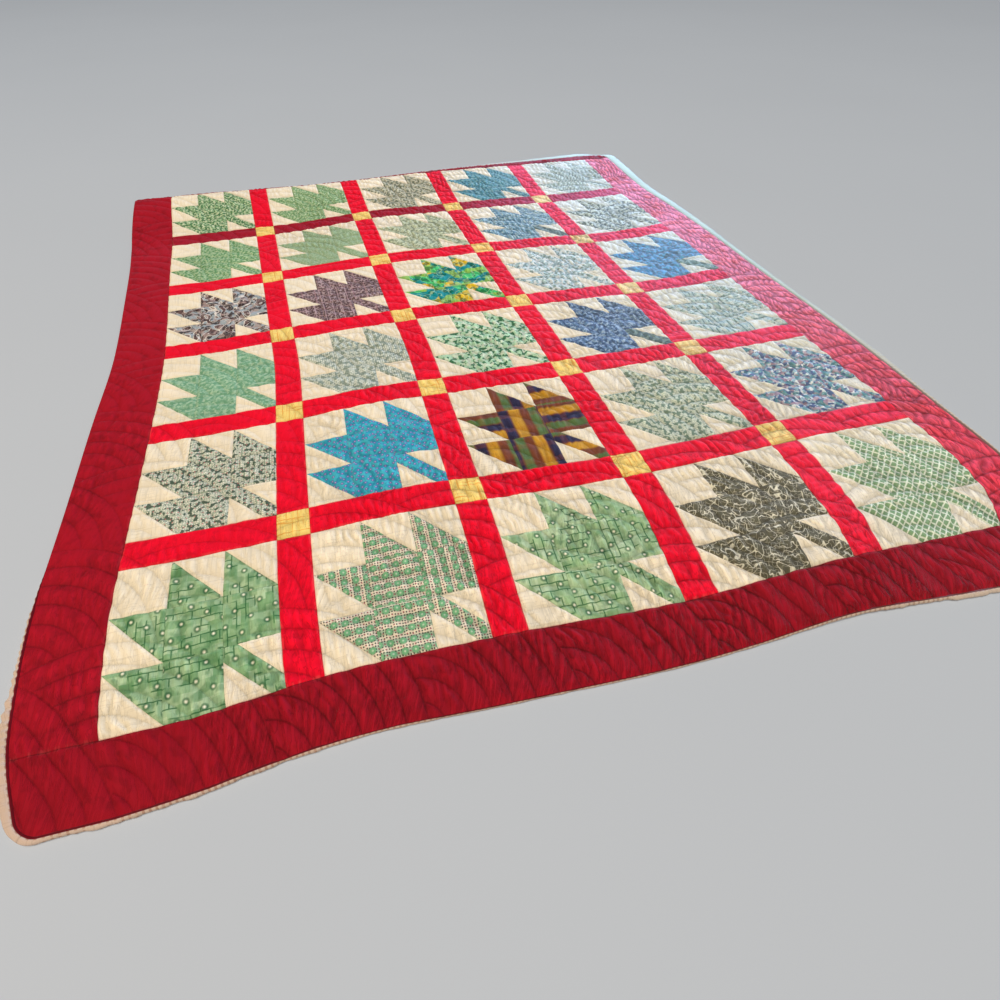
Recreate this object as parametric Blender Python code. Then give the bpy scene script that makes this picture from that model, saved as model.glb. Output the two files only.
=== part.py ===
"""Maple leaf quilt, lying almost flat, with a low soft ridge under its far end.

Metres, +Z up. +X runs across the quilt and +Y along it, from the near edge to the far edge.
The underside rests on z = 0. The origin is under the middle of the quilt.

A place on the quilt is given twice. "across" and "along" are measured on the cloth as it was
cut, from the middle of the pieced panel. lie() turns them into the place where the cloth lies,
with its seams a little off straight and its low swells.
"""

import math

import bmesh
import bpy
import numpy as np
from mathutils import Vector
from mathutils.geometry import delaunay_2d_cdt

COLLECTION = "maple_leaf_quilt"

# The patchwork: a leaf block is three patches square, and sashes part the blocks.
PATCH = 0.0762
BLOCK = 3 * PATCH
SASH = 0.0508
PITCH = BLOCK + SASH
COLUMNS = 5
ROWS = 6
HALF_WIDTH = (COLUMNS * PITCH - SASH) / 2
HALF_LENGTH = (ROWS * PITCH - SASH) / 2

# The quilted cloth, and the gap that parts two pieces of it.
THIN = 0.0040
PUFF = 0.0024
PIECE_GAP = 0.0004

# The quilting: fans of arcs, side by side in rows that start at the near edge.
LINE_GAP = 0.030
FAN_LINES = 7
FAN_REACH = FAN_LINES * LINE_GAP
FAN_STEP = 0.200
FAN_ROW_STEP = 0.170
BOTH_BORDERS = 0.25

# How far apart the points of the solids' faces are.
ARC_POINT_STEP = 0.046
EDGE_POINT_STEP = 0.050
UNDER_POINT_STEP = 0.085
CORNER_POINT_STEP = 0.012
LEAST_POINT_GAP = 0.009
LEAST_ARC_POINTS = 8

# Two places this close are one.
HAIR = 1e-6

# Border widths from the panel's seam to the border's outer edge, evenly spaced along each side.
# The side borders are read from far to near, the other two from left to right.
BORDER_WIDTHS = {
    "left": (0.104, 0.110, 0.102, 0.102, 0.104, 0.110, 0.108, 0.105, 0.099),
    "right": (0.088, 0.088, 0.099, 0.104, 0.102, 0.101, 0.092, 0.078, 0.085),
    "near": (0.090, 0.081, 0.081, 0.087, 0.086, 0.080, 0.075, 0.085, 0.092),
    "far": (0.100, 0.098, 0.098, 0.097, 0.096),
}

# Widths of the pale edge binding, read in the same order.
BINDING_WIDTHS = {
    "left": (0.005, 0.005, 0.005, 0.005, 0.008, 0.013),
    "right": (0.030, 0.027, 0.023, 0.017, 0.014, 0.014, 0.015, 0.007, 0.009),
    "near": (0.006, 0.006, 0.005, 0.004, 0.004, 0.004, 0.005, 0.006, 0.008),
    "far": (0.005, 0.006, 0.008, 0.014, 0.026),
}

# Radius of the outline at each corner of the quilt.
CORNER_RADIUS = {"near_left": 0.022, "near_right": 0.040, "far_right": 0.075, "far_left": 0.028}

# How far the cloth strays to the right, at four places across, for nine places along.
DRIFT_ACROSS_AT = (-0.673, -0.279, 0.279, 0.673)
SIDEWAYS_DRIFT = (
    # along, left seam, left of middle, right of middle, right seam
    (0.838, -0.017, -0.014, -0.014, -0.017),
    (0.419, -0.004, -0.003, -0.001, -0.006),
    (0.028, 0.014, 0.005, 0.000, -0.007),
    (-0.140, 0.014, 0.010, 0.003, -0.006),
    (-0.419, 0.003, 0.000, 0.003, 0.001),
    (-0.643, -0.008, -0.008, -0.001, 0.001),
    (-0.754, -0.004, -0.012, -0.019, -0.021),
    (-0.813, 0.004, -0.014, -0.032, -0.057),
    (-0.900, 0.034, -0.014, -0.038, -0.073),
)

# How far the crosswise seams stray towards the near edge, at four places across.
SEAM_ACROSS_AT = (-0.559, -0.200, 0.140, 0.489)
LENGTHWISE_DRIFT = (
    # along, left column, left of middle, right of middle, right column
    (0.813, 0.021, 0.034, 0.016, 0.012),
    (0.559, 0.009, 0.004, -0.017, 0.004),
    (0.279, 0.018, -0.003, -0.009, 0.018),
    (0.000, 0.018, -0.003, 0.003, 0.018),
    (-0.279, 0.008, -0.003, 0.000, -0.002),
    (-0.559, 0.004, -0.003, 0.006, -0.007),
    (-0.813, 0.022, 0.004, 0.008, 0.006),
)

# Places where a seam bows: middle across and along, half lengths, how far to the near edge.
SEAM_BOWS = (
    ("near seam, left", -0.39, -0.83, 0.24, 0.20, -0.007),
    ("near seam, middle", 0.10, -0.83, 0.32, 0.20, 0.006),
)

# The ridge under the far end: its height and the place of its crest, at places across.
RIDGE_ACROSS_AT = (-0.78, -0.42, -0.14, 0.06, 0.28, 0.56, 0.78)
RIDGE_HEIGHT = (0.038, 0.036, 0.034, 0.031, 0.027, 0.021, 0.016)
RIDGE_CREST = (0.796, 0.796, 0.797, 0.807, 0.820, 0.824, 0.824)
RIDGE_FOOT = 0.545
RIDGE_BACK = 0.915

# Low swells under the rest: middle across and along, half lengths across and along, height.
SWELLS = (
    ("left of the middle, far", -0.12, 0.50, 0.26, 0.36, 0.010),
    ("left of the middle, near", -0.25, -0.42, 0.17, 0.34, 0.008),
    ("along the right seam", 0.66, 0.10, 0.13, 0.62, 0.007),
    ("near edge, right", 0.34, -0.79, 0.26, 0.13, 0.009),
)

# Bunched folds in the near border's right half: places across, half width and height.
BUNCH_AT = (0.255, 0.312, 0.368, 0.430, 0.492, 0.556, 0.618)
BUNCH_LEAN = -0.035
BUNCH_HALF_WIDTH = 0.026
BUNCH_HEIGHT = 0.0040
BUNCH_REACH = 0.045

# A binding strip's section: share of its width, height above the underside.
BINDING_SECTION = (
    (0.0, 0.0000),
    (0.0, 0.0046),
    (0.45, 0.0056),
    (0.86, 0.0043),
    (1.0, 0.0024),
    (0.86, 0.0007),
    (0.45, 0.0000),
)

COLOURS = {
    "pieced_panel": (0.64, 0.42, 0.25, 1.0),
    "border": (0.42, 0.008, 0.022, 1.0),
    "binding": (0.80, 0.63, 0.46, 1.0),
}
CLOTH_ROUGHNESS = 0.9


def knot_weights(x, knots):
    """Weights that blend values given at the knots into a smooth curve, level beyond the ends."""
    knots = np.asarray(knots, float)
    x = np.clip(np.atleast_1d(np.asarray(x, float)), knots[0], knots[-1])
    last = len(knots) - 1
    i = np.clip(np.searchsorted(knots, x, side="right") - 1, 0, last - 1)
    span = knots[i + 1] - knots[i]
    t = (x - knots[i]) / span
    weights = np.zeros((len(x), last + 1))
    rows = np.arange(len(x))
    weights[rows, i] += 2 * t**3 - 3 * t**2 + 1
    weights[rows, i + 1] += 3 * t**2 - 2 * t**3
    for knot, pull in ((i, t**3 - 2 * t**2 + t), (i + 1, t**3 - t**2)):
        before = np.maximum(knot - 1, 0)
        after = np.minimum(knot + 1, last)
        pull = pull * span / (knots[after] - knots[before])
        weights[rows, after] += pull
        weights[rows, before] -= pull
    return weights


def curve(x, knots, values):
    return knot_weights(x, knots) @ np.asarray(values, float)


def drift_from(table, across_at, across, along):
    """The value of a drift table at each place. The table's first column is the place along."""
    table = np.asarray(sorted(table))
    by_row = knot_weights(across, across_at) @ table[:, 1:].T
    return (by_row * knot_weights(along, table[:, 0])).sum(axis=1)


def hump(x, middle, half):
    """1 at the middle, falling smoothly to 0 at the half length and beyond."""
    return 0.5 + 0.5 * np.cos(np.pi * np.clip((x - middle) / half, -1, 1))


def ridge_of(across, along):
    """The far end's ridge: a long soft rise to its crest, then a short fall to the far edge."""
    crest = curve(across, RIDGE_ACROSS_AT, RIDGE_CREST)
    rising = np.clip((along - RIDGE_FOOT) / (crest - RIDGE_FOOT), 0, 1)
    falling = np.clip((RIDGE_BACK - along) / (RIDGE_BACK - crest), 0, 1)
    front = 0.5 * rising + 0.5 * rising**2 * (3 - 2 * rising)
    back = falling**2 * (3 - 2 * falling)
    height = curve(across, RIDGE_ACROSS_AT, RIDGE_HEIGHT)
    return height * np.where(along < crest, front, back)


def humps_from(table, across, along):
    """The sum of a table's rounded humps at each place. Its last column is the size of each."""
    total = np.zeros(len(across))
    for _name, middle_across, middle_along, half_across, half_along, size in table:
        total += size * hump(across, middle_across, half_across) * hump(along, middle_along, half_along)
    return total


def rise_of(across, along):
    """How far the cloth's underside lies above the ground."""
    return ridge_of(across, along) + humps_from(SWELLS, across, along)


def lie(places, above=0.0):
    """Where places on the flat cloth come to lie, at a height above the underside."""
    places = np.atleast_2d(np.asarray(places, float))
    across, along = places[:, 0], places[:, 1]
    x = across + drift_from(SIDEWAYS_DRIFT, DRIFT_ACROSS_AT, across, along)
    y = along - drift_from(LENGTHWISE_DRIFT, SEAM_ACROSS_AT, across, along)
    y = y - humps_from(SEAM_BOWS, across, along)
    return np.column_stack((x, y, rise_of(across, along) + above))


def fan_centres():
    """The middles of the quilting fans, in the order in which they were drawn."""
    bottom = -HALF_LENGTH - max(BORDER_WIDTHS["near"])
    left = -HALF_WIDTH - max(BORDER_WIDTHS["left"])
    rows = math.ceil((2 * HALF_LENGTH + BOTH_BORDERS) / FAN_ROW_STEP)
    columns = math.ceil((2 * HALF_WIDTH + BOTH_BORDERS) / FAN_STEP) + 2
    centres = []
    for row in range(rows):
        start = left + (row % 2 - 1) * FAN_STEP / 2
        for column in range(columns):
            centres.append((start + column * FAN_STEP, bottom + row * FAN_ROW_STEP))
    return centres


def quilting_at(places):
    """Each place's fan, and how far it is from the nearest quilting line."""
    places = np.atleast_2d(places)
    owner = np.full(len(places), -1)
    nearest = np.full(len(places), LINE_GAP / 2)
    for number, centre in enumerate(fan_centres()):
        radius = np.hypot(places[:, 0] - centre[0], places[:, 1] - centre[1])
        free = owner < 0
        inside = free & (radius <= FAN_REACH)
        ring = np.abs(radius / LINE_GAP - np.round(radius / LINE_GAP)) * LINE_GAP
        ring = np.where(radius < LINE_GAP / 2, LINE_GAP / 2, ring)
        rim = np.abs(radius - FAN_REACH)
        nearest = np.where(inside, np.minimum(nearest, ring), nearest)
        nearest = np.where(free & ~inside, np.minimum(nearest, rim), nearest)
        owner[inside] = number
    return owner, nearest


def bunches_at(places):
    """The height of the bunched folds where the near border is pushed together."""
    below_seam = np.clip((-HALF_LENGTH + BUNCH_REACH - places[:, 1]) / (2 * BUNCH_REACH), 0, 1)
    across = places[:, 0] - BUNCH_LEAN * below_seam
    height = np.zeros(len(places))
    for middle in BUNCH_AT:
        height += BUNCH_HEIGHT * hump(across, middle, BUNCH_HALF_WIDTH)
    return height * below_seam


def thickness_at(places):
    """The quilted cloth is thin at a stitched line and puffs up between two lines."""
    _owner, nearest = quilting_at(places)
    flatness = 1 - nearest / (LINE_GAP / 2)
    return THIN + PUFF * (1 - flatness**2) + bunches_at(np.atleast_2d(places))


def width_along(table, side, share):
    """A side's width from its row in the table, at a share of the way along the side."""
    widths = table[side]
    return curve(share, np.linspace(0, 1, len(widths)), widths)


def border_edge(side, place):
    """The across (left, right) or along (near, far) place of a border's outer edge."""
    if side in ("left", "right"):
        share = 0.5 - np.asarray(place) / (2 * HALF_LENGTH)
        out = HALF_WIDTH + width_along(BORDER_WIDTHS, side, share)
        return -out if side == "left" else out
    share = 0.5 + np.asarray(place) / (2 * HALF_WIDTH)
    out = HALF_LENGTH + width_along(BORDER_WIDTHS, side, share)
    return -out if side == "near" else out


def stations_between(start, end, breaks=()):
    """Places from start to end, evenly stepped between any breaks on the way."""
    stops = [start] + sorted(breaks, reverse=end < start) + [end]
    places = []
    for first, last in zip(stops, stops[1:]):
        steps = max(1, round(abs(last - first) / EDGE_POINT_STEP))
        places.extend(np.linspace(first, last, steps + 1)[:-1])
    return places + [end]


def corner_arc(name, turn):
    """The rounded corner of the outline, anticlockwise, from the angle given."""
    radius = CORNER_RADIUS[name]
    along_side, across_side = name.split("_")
    far = 1 if along_side == "far" else -1
    right = 1 if across_side == "right" else -1
    corner_x = float(border_edge(across_side, far * HALF_LENGTH)[0])
    corner_y = float(border_edge(along_side, right * HALF_WIDTH)[0])
    centre = (corner_x - right * radius, corner_y - far * radius)
    count = 2 * max(2, round(radius * math.pi / 4 / CORNER_POINT_STEP))
    angles = [turn + math.pi / 2 * step / count for step in range(count + 1)]
    return [(centre[0] + radius * math.cos(t), centre[1] + radius * math.sin(t)) for t in angles]


def outline():
    """The red cloth's outer edge, anticlockwise, as a list of (side, place, share of the side)."""
    seams = (HALF_LENGTH, HALF_LENGTH + PIECE_GAP, -HALF_LENGTH, -HALF_LENGTH - PIECE_GAP)
    arcs = {
        "near_right": corner_arc("near_right", -math.pi / 2),
        "far_right": corner_arc("far_right", 0.0),
        "far_left": corner_arc("far_left", math.pi / 2),
        "near_left": corner_arc("near_left", math.pi),
    }
    runs = (
        ("near", "near_left", "near_right", 0),
        ("right", "near_right", "far_right", 1),
        ("far", "far_right", "far_left", 0),
        ("left", "far_left", "near_left", 1),
    )
    points = []
    for side, first, last, axis in runs:
        before, after = arcs[first], arcs[last]
        start, end = before[-1][axis], after[0][axis]
        inner = stations_between(start, end, seams if axis else ())[1:-1]
        edge = border_edge(side, np.asarray(inner))
        half = len(before) // 2
        run = [tuple(p) for p in before[half:]]
        run += [(e, s) if axis else (s, e) for s, e in zip(inner, edge)]
        run += [tuple(p) for p in after[: len(after) // 2]]
        points += [(side, (float(x), float(y))) for x, y in run]
    return points


def loop_step(points, i, by):
    return np.asarray(points[(i + by) % len(points)][1])


def binding_rows():
    """Each outline point with its outward normal, its way round and the binding's width there."""
    points = outline()
    ends = {"near": ("x", 1), "right": ("y", -1), "far": ("x", 1), "left": ("y", -1)}
    rows = []
    for i, (side, place) in enumerate(points):
        way = loop_step(points, i, 1) - loop_step(points, i, -1)
        way = way / np.linalg.norm(way)
        axis, sign = ends[side]
        half = HALF_WIDTH if axis == "x" else HALF_LENGTH
        value = place[0] if axis == "x" else place[1]
        width = float(width_along(BINDING_WIDTHS, side, 0.5 + sign * value / (2 * half))[0])
        rows.append((side, np.asarray(place), np.array((way[1], -way[0])), way, width))
    return rows


def quilting_points():
    """Points on the stitched lines and on the crests between them, and the edges along each arc."""
    places, edges, taken = [], [], {}
    for number, centre in enumerate(fan_centres()):
        for ring in range(2 * FAN_LINES, 0, -1):
            radius = ring * LINE_GAP / 2
            count = LEAST_ARC_POINTS
            while 2 * math.pi * radius / count > ARC_POINT_STEP:
                count *= 2
            angles = np.arange(count) * 2 * math.pi / count
            arc = np.column_stack((np.cos(angles), np.sin(angles))) * (radius - HAIR) + centre
            owner, nearest = quilting_at(arc)
            wanted = (owner == number) & ((ring % 2 == 0) | (nearest > LINE_GAP / 4))
            last = None
            for place, keep in zip(arc, wanted):
                if not keep or crowded(place, taken):
                    last = None
                    continue
                cell = tuple(np.floor(place / LEAST_POINT_GAP).astype(int))
                taken.setdefault(cell, []).append(place)
                places.append(place)
                if last is not None:
                    edges.append((last, len(places) - 1))
                last = len(places) - 1
    return np.array(places), edges


def crowded(place, taken):
    """Whether another point is already closer than the least gap."""
    x, y = np.floor(place / LEAST_POINT_GAP).astype(int)
    for i in (x - 1, x, x + 1):
        for j in (y - 1, y, y + 1):
            for other in taken.get((i, j), ()):
                if np.hypot(*(place - other)) < LEAST_POINT_GAP:
                    return True
    return False


def inside_loop(places, loop, margin):
    """Which places lie inside the loop and at least the margin away from it."""
    start = np.asarray(loop)
    end = np.roll(start, -1, axis=0)
    inside = np.zeros(len(places), bool)
    clear = np.full(len(places), np.inf)
    for a, b in zip(start, end):
        spans = (a[1] > places[:, 1]) != (b[1] > places[:, 1])
        with np.errstate(divide="ignore", invalid="ignore"):
            cross = a[0] + (places[:, 1] - a[1]) * (b[0] - a[0]) / (b[1] - a[1])
        inside ^= spans & (places[:, 0] < cross)
        way = b - a
        share = np.clip(((places - a) @ way) / (way @ way), 0, 1)
        clear = np.minimum(clear, np.hypot(*(places - a - share[:, None] * way).T))
    return inside & (clear > margin)


def filled(loop, places, edges):
    """Triangles that fill the loop through the places, and the index of each loop point."""
    points = [Vector(p) for p in loop] + [Vector(p) for p in places]
    first = len(loop)
    lines = [(a + first, b + first) for a, b in edges]
    verts, _edges, faces, origins, _e, _f = delaunay_2d_cdt(
        points, lines, [tuple(range(first))], 1, HAIR, True
    )
    rim = {}
    for index, sources in enumerate(origins):
        for source in sources:
            if source < first:
                rim[source] = index
    verts = np.array([tuple(v) for v in verts])
    faces = np.array(faces)
    faces = faces[inside_loop(verts[faces].mean(axis=1), loop, 0)]
    return verts, faces.tolist(), [rim[i] for i in range(first)]


def cloth_material(name):
    material = bpy.data.materials.new(name)
    material.use_nodes = True
    shader = material.node_tree.nodes["Principled BSDF"]
    shader.inputs["Base Color"].default_value = COLOURS[name]
    shader.inputs["Roughness"].default_value = CLOTH_ROUGHNESS
    material.diffuse_color = COLOURS[name]
    return material


def add_object(name, points, faces, material, collection):
    mesh = bpy.data.meshes.new(name)
    mesh.from_pydata([tuple(p) for p in points], [], faces)
    work = bmesh.new()
    work.from_mesh(mesh)
    bmesh.ops.triangulate(work, faces=work.faces)
    bmesh.ops.recalc_face_normals(work, faces=work.faces)
    work.to_mesh(mesh)
    work.free()
    mesh.materials.append(material)
    piece = bpy.data.objects.new(name, mesh)
    collection.objects.link(piece)
    return piece


def quilted_piece(name, loop, quilting, material, collection):
    """A piece of the quilted cloth: a puffed face, a plain underside and walls round the loop."""
    places, edges = quilting
    keep = inside_loop(places, loop, LEAST_POINT_GAP)
    number = np.cumsum(keep) - 1
    lines = [(number[a], number[b]) for a, b in edges if keep[a] and keep[b]]
    top, top_faces, top_rim = filled(loop, places[keep], lines)
    low, high = np.min(loop, axis=0), np.max(loop, axis=0)
    counts = np.maximum(1, np.round((high - low) / UNDER_POINT_STEP)).astype(int)
    grid = np.stack(
        np.meshgrid(*(np.linspace(low[k], high[k], counts[k] + 1) for k in (0, 1))), axis=-1
    ).reshape(-1, 2)
    grid = grid[inside_loop(grid, loop, UNDER_POINT_STEP / 4)]
    under, under_faces, under_rim = filled(loop, grid, [])
    shift = len(top)
    faces = [tuple(face) for face in top_faces]
    faces += [tuple(shift + i for i in reversed(face)) for face in under_faces]
    for i, j in zip(range(len(loop)), list(range(1, len(loop))) + [0]):
        faces.append((top_rim[j], top_rim[i], shift + under_rim[i], shift + under_rim[j]))
    points = np.vstack((lie(top, thickness_at(top)), lie(under)))
    return add_object(name, points, faces, material, collection)


def binding_piece(side, rows, material, collection):
    """A strip of binding, lofted along its side, from the middle of one corner to the next."""
    run = [row for row in rows if row[0] == side]
    after = next(row for i, row in enumerate(rows) if rows[i - 1][0] == side and row[0] != side)
    run.append(after)
    points, faces = [], []
    for i, (_side, place, out, way, width) in enumerate(run):
        if i == 0:
            place = place + way * PIECE_GAP / 2
        if i == len(run) - 1:
            place = place - way * PIECE_GAP / 2
        for share, height in BINDING_SECTION:
            flat = place + out * (PIECE_GAP + share * width)
            points.append(lie(flat, height)[0])
    ring = len(BINDING_SECTION)
    for i in range(len(run) - 1):
        for k in range(ring):
            a, b = i * ring + k, i * ring + (k + 1) % ring
            faces.append((a, b, b + ring, a + ring))
    faces.append(tuple(range(ring)))
    faces.append(tuple(reversed(range(len(points) - ring, len(points)))))
    return add_object(f"binding_{side}", points, faces, material, collection)


def panel_loop():
    across = stations_between(-HALF_WIDTH, HALF_WIDTH)
    along = stations_between(-HALF_LENGTH, HALF_LENGTH)
    loop = [(x, -HALF_LENGTH) for x in across[:-1]]
    loop += [(HALF_WIDTH, y) for y in along[:-1]]
    loop += [(x, HALF_LENGTH) for x in across[:0:-1]]
    loop += [(-HALF_WIDTH, y) for y in along[:0:-1]]
    return loop


def side_border_loop(side, points):
    """A side border runs between the near and far borders, beside the panel."""
    sign = -1 if side == "left" else 1
    inner = sign * (HALF_WIDTH + PIECE_GAP)
    outer = [p for name, p in points if name == side and abs(p[1]) <= HALF_LENGTH + HAIR]
    seam = stations_between(-HALF_LENGTH, HALF_LENGTH)
    if side == "right":
        return outer + [(inner, y) for y in reversed(seam)]
    return outer + [(inner, y) for y in seam]


def end_border_loop(side, points):
    """The near or far border runs across the whole quilt, past the side borders' ends."""
    sign = -1 if side == "near" else 1
    level = sign * (HALF_LENGTH + PIECE_GAP)
    names = ("left", "near", "right") if side == "near" else ("right", "far", "left")
    outer = []
    for name in names:
        outer += [p for s, p in points if s == name and sign * p[1] >= sign * level - HAIR]
    first, last = outer[0], outer[-1]
    seam = stations_between(last[0], first[0], (HALF_WIDTH, -HALF_WIDTH))
    return outer + [(x, level) for x in seam[1:-1]]


def centre_all(pieces, collection):
    """Hangs the pieces on an empty that puts the origin under the middle of the whole quilt."""
    corners = np.array([tuple(v.co) for piece in pieces for v in piece.data.vertices])
    low, high = corners.min(axis=0), corners.max(axis=0)
    quilt = bpy.data.objects.new("quilt", None)
    quilt.location = (-(low[0] + high[0]) / 2, -(low[1] + high[1]) / 2, -low[2])
    collection.objects.link(quilt)
    for piece in pieces:
        piece.parent = quilt


def main():
    for old in list(bpy.data.objects):
        bpy.data.objects.remove(old, do_unlink=True)
    collection = bpy.data.collections.new(COLLECTION)
    bpy.context.scene.collection.children.link(collection)
    patchwork = cloth_material("pieced_panel")
    red = cloth_material("border")
    pale = cloth_material("binding")
    quilting = quilting_points()
    points = outline()
    pieces = [quilted_piece("pieced_panel", panel_loop(), quilting, patchwork, collection)]
    for side in ("left", "right"):
        loop = side_border_loop(side, points)
        pieces.append(quilted_piece(f"border_{side}", loop, quilting, red, collection))
    for side in ("near", "far"):
        loop = end_border_loop(side, points)
        pieces.append(quilted_piece(f"border_{side}", loop, quilting, red, collection))
    rows = binding_rows()
    for side in ("near", "right", "far", "left"):
        pieces.append(binding_piece(side, rows, pale, collection))
    centre_all(pieces, collection)


main()
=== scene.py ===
"""Maple leaf quilt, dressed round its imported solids: pieced calicoes, quilting, borders and edge.

Metres, +Z up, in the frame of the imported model. A place on the cloth is given as it was cut:
"across" and "along" are measured on the flat cloth from the middle of the pieced panel, and
lie() turns them into the place where the cloth lies, with its drifting seams and low swells.
"""

import math

import bpy
import numpy as np
from bpy.props import FloatProperty, FloatVectorProperty, IntProperty, PointerProperty
from mathutils import Matrix, Vector


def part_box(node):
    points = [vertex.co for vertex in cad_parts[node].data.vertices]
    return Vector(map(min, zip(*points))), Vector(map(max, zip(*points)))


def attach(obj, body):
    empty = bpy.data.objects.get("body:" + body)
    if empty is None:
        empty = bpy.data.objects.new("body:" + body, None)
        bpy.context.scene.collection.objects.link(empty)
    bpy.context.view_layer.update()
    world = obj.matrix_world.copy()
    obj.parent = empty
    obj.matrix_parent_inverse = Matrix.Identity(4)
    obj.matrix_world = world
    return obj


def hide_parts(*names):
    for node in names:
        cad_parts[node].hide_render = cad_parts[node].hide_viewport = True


bl_info = {
    "name": "Maple Leaf Quilt",
    "version": (1, 0, 0),
    "blender": (4, 5, 0),
    "location": "View3D > Sidebar > Quilt",
    "description": "Makes the cloths, patchwork and sewing of a maple leaf quilt",
    "category": "Object",
}

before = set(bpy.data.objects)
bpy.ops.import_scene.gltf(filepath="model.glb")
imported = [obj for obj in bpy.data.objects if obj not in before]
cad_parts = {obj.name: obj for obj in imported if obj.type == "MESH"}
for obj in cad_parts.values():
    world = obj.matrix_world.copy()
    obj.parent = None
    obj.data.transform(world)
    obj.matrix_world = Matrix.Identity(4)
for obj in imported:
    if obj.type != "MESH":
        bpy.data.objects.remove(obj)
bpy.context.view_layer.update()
BODY = "root"

MILLI = 1000

# The patchwork: a leaf block is three patches square, and sashes part the blocks.
PATCH = 0.0762
BLOCK = 3 * PATCH
SASH = 0.0508
PITCH = BLOCK + SASH
COLUMNS = 5
ROWS = 6
HALF_WIDTH = (COLUMNS * PITCH - SASH) / 2
HALF_LENGTH = (ROWS * PITCH - SASH) / 2
STEM_HALF = PATCH / 4

# The quilted cloth, and the fans of stitched arcs that hold its three layers together.
THIN = 0.0040
PUFF = 0.0024
PIECE_GAP = 0.0004
LINE_GAP = 0.030
FAN_LINES = 7
FAN_REACH = FAN_LINES * LINE_GAP
FAN_STEP = 0.200
FAN_ROW_STEP = 0.170
SPARE_FANS = 2
BOTH_BORDERS = 0.25

# Border widths from the panel's seam to the border's outer edge, evenly spaced along each side.
# The side borders are read from far to near, the other two from left to right.
BORDER_WIDTHS = {
    "left": (0.104, 0.110, 0.102, 0.102, 0.104, 0.110, 0.108, 0.105, 0.099),
    "right": (0.088, 0.088, 0.099, 0.104, 0.102, 0.101, 0.092, 0.078, 0.085),
    "near": (0.090, 0.081, 0.081, 0.087, 0.086, 0.080, 0.075, 0.085, 0.092),
    "far": (0.100, 0.098, 0.098, 0.097, 0.096),
}

# Widths of the pale edge strip, read in the same order.
BINDING_WIDTHS = {
    "left": (0.005, 0.005, 0.005, 0.005, 0.008, 0.013),
    "right": (0.030, 0.027, 0.023, 0.017, 0.014, 0.014, 0.015, 0.007, 0.009),
    "near": (0.006, 0.006, 0.005, 0.004, 0.004, 0.004, 0.005, 0.006, 0.008),
    "far": (0.005, 0.006, 0.008, 0.014, 0.026),
}
CORNER_RADIUS = {"near_left": 0.022, "near_right": 0.040, "far_right": 0.075, "far_left": 0.028}

# How far the cloth strays to the right, at four places across, for nine places along.
DRIFT_ACROSS_AT = (-0.673, -0.279, 0.279, 0.673)
SIDEWAYS_DRIFT = (
    # along, left seam, left of middle, right of middle, right seam
    (0.838, -0.017, -0.014, -0.014, -0.017),
    (0.419, -0.004, -0.003, -0.001, -0.006),
    (0.028, 0.014, 0.005, 0.000, -0.007),
    (-0.140, 0.014, 0.010, 0.003, -0.006),
    (-0.419, 0.003, 0.000, 0.003, 0.001),
    (-0.643, -0.008, -0.008, -0.001, 0.001),
    (-0.754, -0.004, -0.012, -0.019, -0.021),
    (-0.813, 0.004, -0.014, -0.032, -0.057),
    (-0.900, 0.034, -0.014, -0.038, -0.073),
)

# How far the crosswise seams stray towards the near edge, at four places across.
SEAM_ACROSS_AT = (-0.559, -0.200, 0.140, 0.489)
LENGTHWISE_DRIFT = (
    # along, left column, left of middle, right of middle, right column
    (0.813, 0.021, 0.034, 0.016, 0.012),
    (0.559, 0.009, 0.004, -0.017, 0.004),
    (0.279, 0.018, -0.003, -0.009, 0.018),
    (0.000, 0.018, -0.003, 0.003, 0.018),
    (-0.279, 0.008, -0.003, 0.000, -0.002),
    (-0.559, 0.004, -0.003, 0.006, -0.007),
    (-0.813, 0.022, 0.004, 0.008, 0.006),
)

# Places where a seam bows: middle across and along, half lengths, how far to the near edge.
SEAM_BOWS = (
    ("near seam, left", -0.39, -0.83, 0.24, 0.20, -0.007),
    ("near seam, middle", 0.10, -0.83, 0.32, 0.20, 0.006),
)

# The ridge under the far end: its height and the place of its crest, at places across.
RIDGE_ACROSS_AT = (-0.78, -0.42, -0.14, 0.06, 0.28, 0.56, 0.78)
RIDGE_HEIGHT = (0.038, 0.036, 0.034, 0.031, 0.027, 0.021, 0.016)
RIDGE_CREST = (0.796, 0.796, 0.797, 0.807, 0.820, 0.824, 0.824)
RIDGE_FOOT = 0.545
RIDGE_BACK = 0.915

# Low swells under the rest: middle across and along, half lengths across and along, height.
SWELLS = (
    ("left of the middle, far", -0.12, 0.50, 0.26, 0.36, 0.010),
    ("left of the middle, near", -0.25, -0.42, 0.17, 0.34, 0.008),
    ("along the right seam", 0.66, 0.10, 0.13, 0.62, 0.007),
    ("near edge, right", 0.34, -0.79, 0.26, 0.13, 0.009),
)

# Bunched folds in the near border's right half: places across, half width and height.
BUNCH_AT = (0.255, 0.312, 0.368, 0.430, 0.492, 0.556, 0.618)
BUNCH_LEAN = -0.035
BUNCH_HALF_WIDTH = 0.026
BUNCH_HEIGHT = 0.0040
BUNCH_REACH = 0.045

# The fine relief that the solids leave out: how far the arcs stray, and the size of the lumps.
SWAY = 0.0026
SWAY_SIZE = 0.055
SWAY_SEEDS = (11, 12)
NOISE_CELLS = 256
RIM_SAMPLES = 400

# Short ripples from one stitched line to the next, and how much longer they get at random.
PUCKER_HEIGHT = 0.0012
PUCKER_PERIOD = 0.0130
PUCKER_SPREAD = 0.6
PUCKER_WANDER = 0.60
PUCKER_WANDER_SIZE = 0.024
PUCKER_TROUGH = 0.35
PUCKER_AT_LINE = 0.25
PUCKER_SEED = 31

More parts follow.
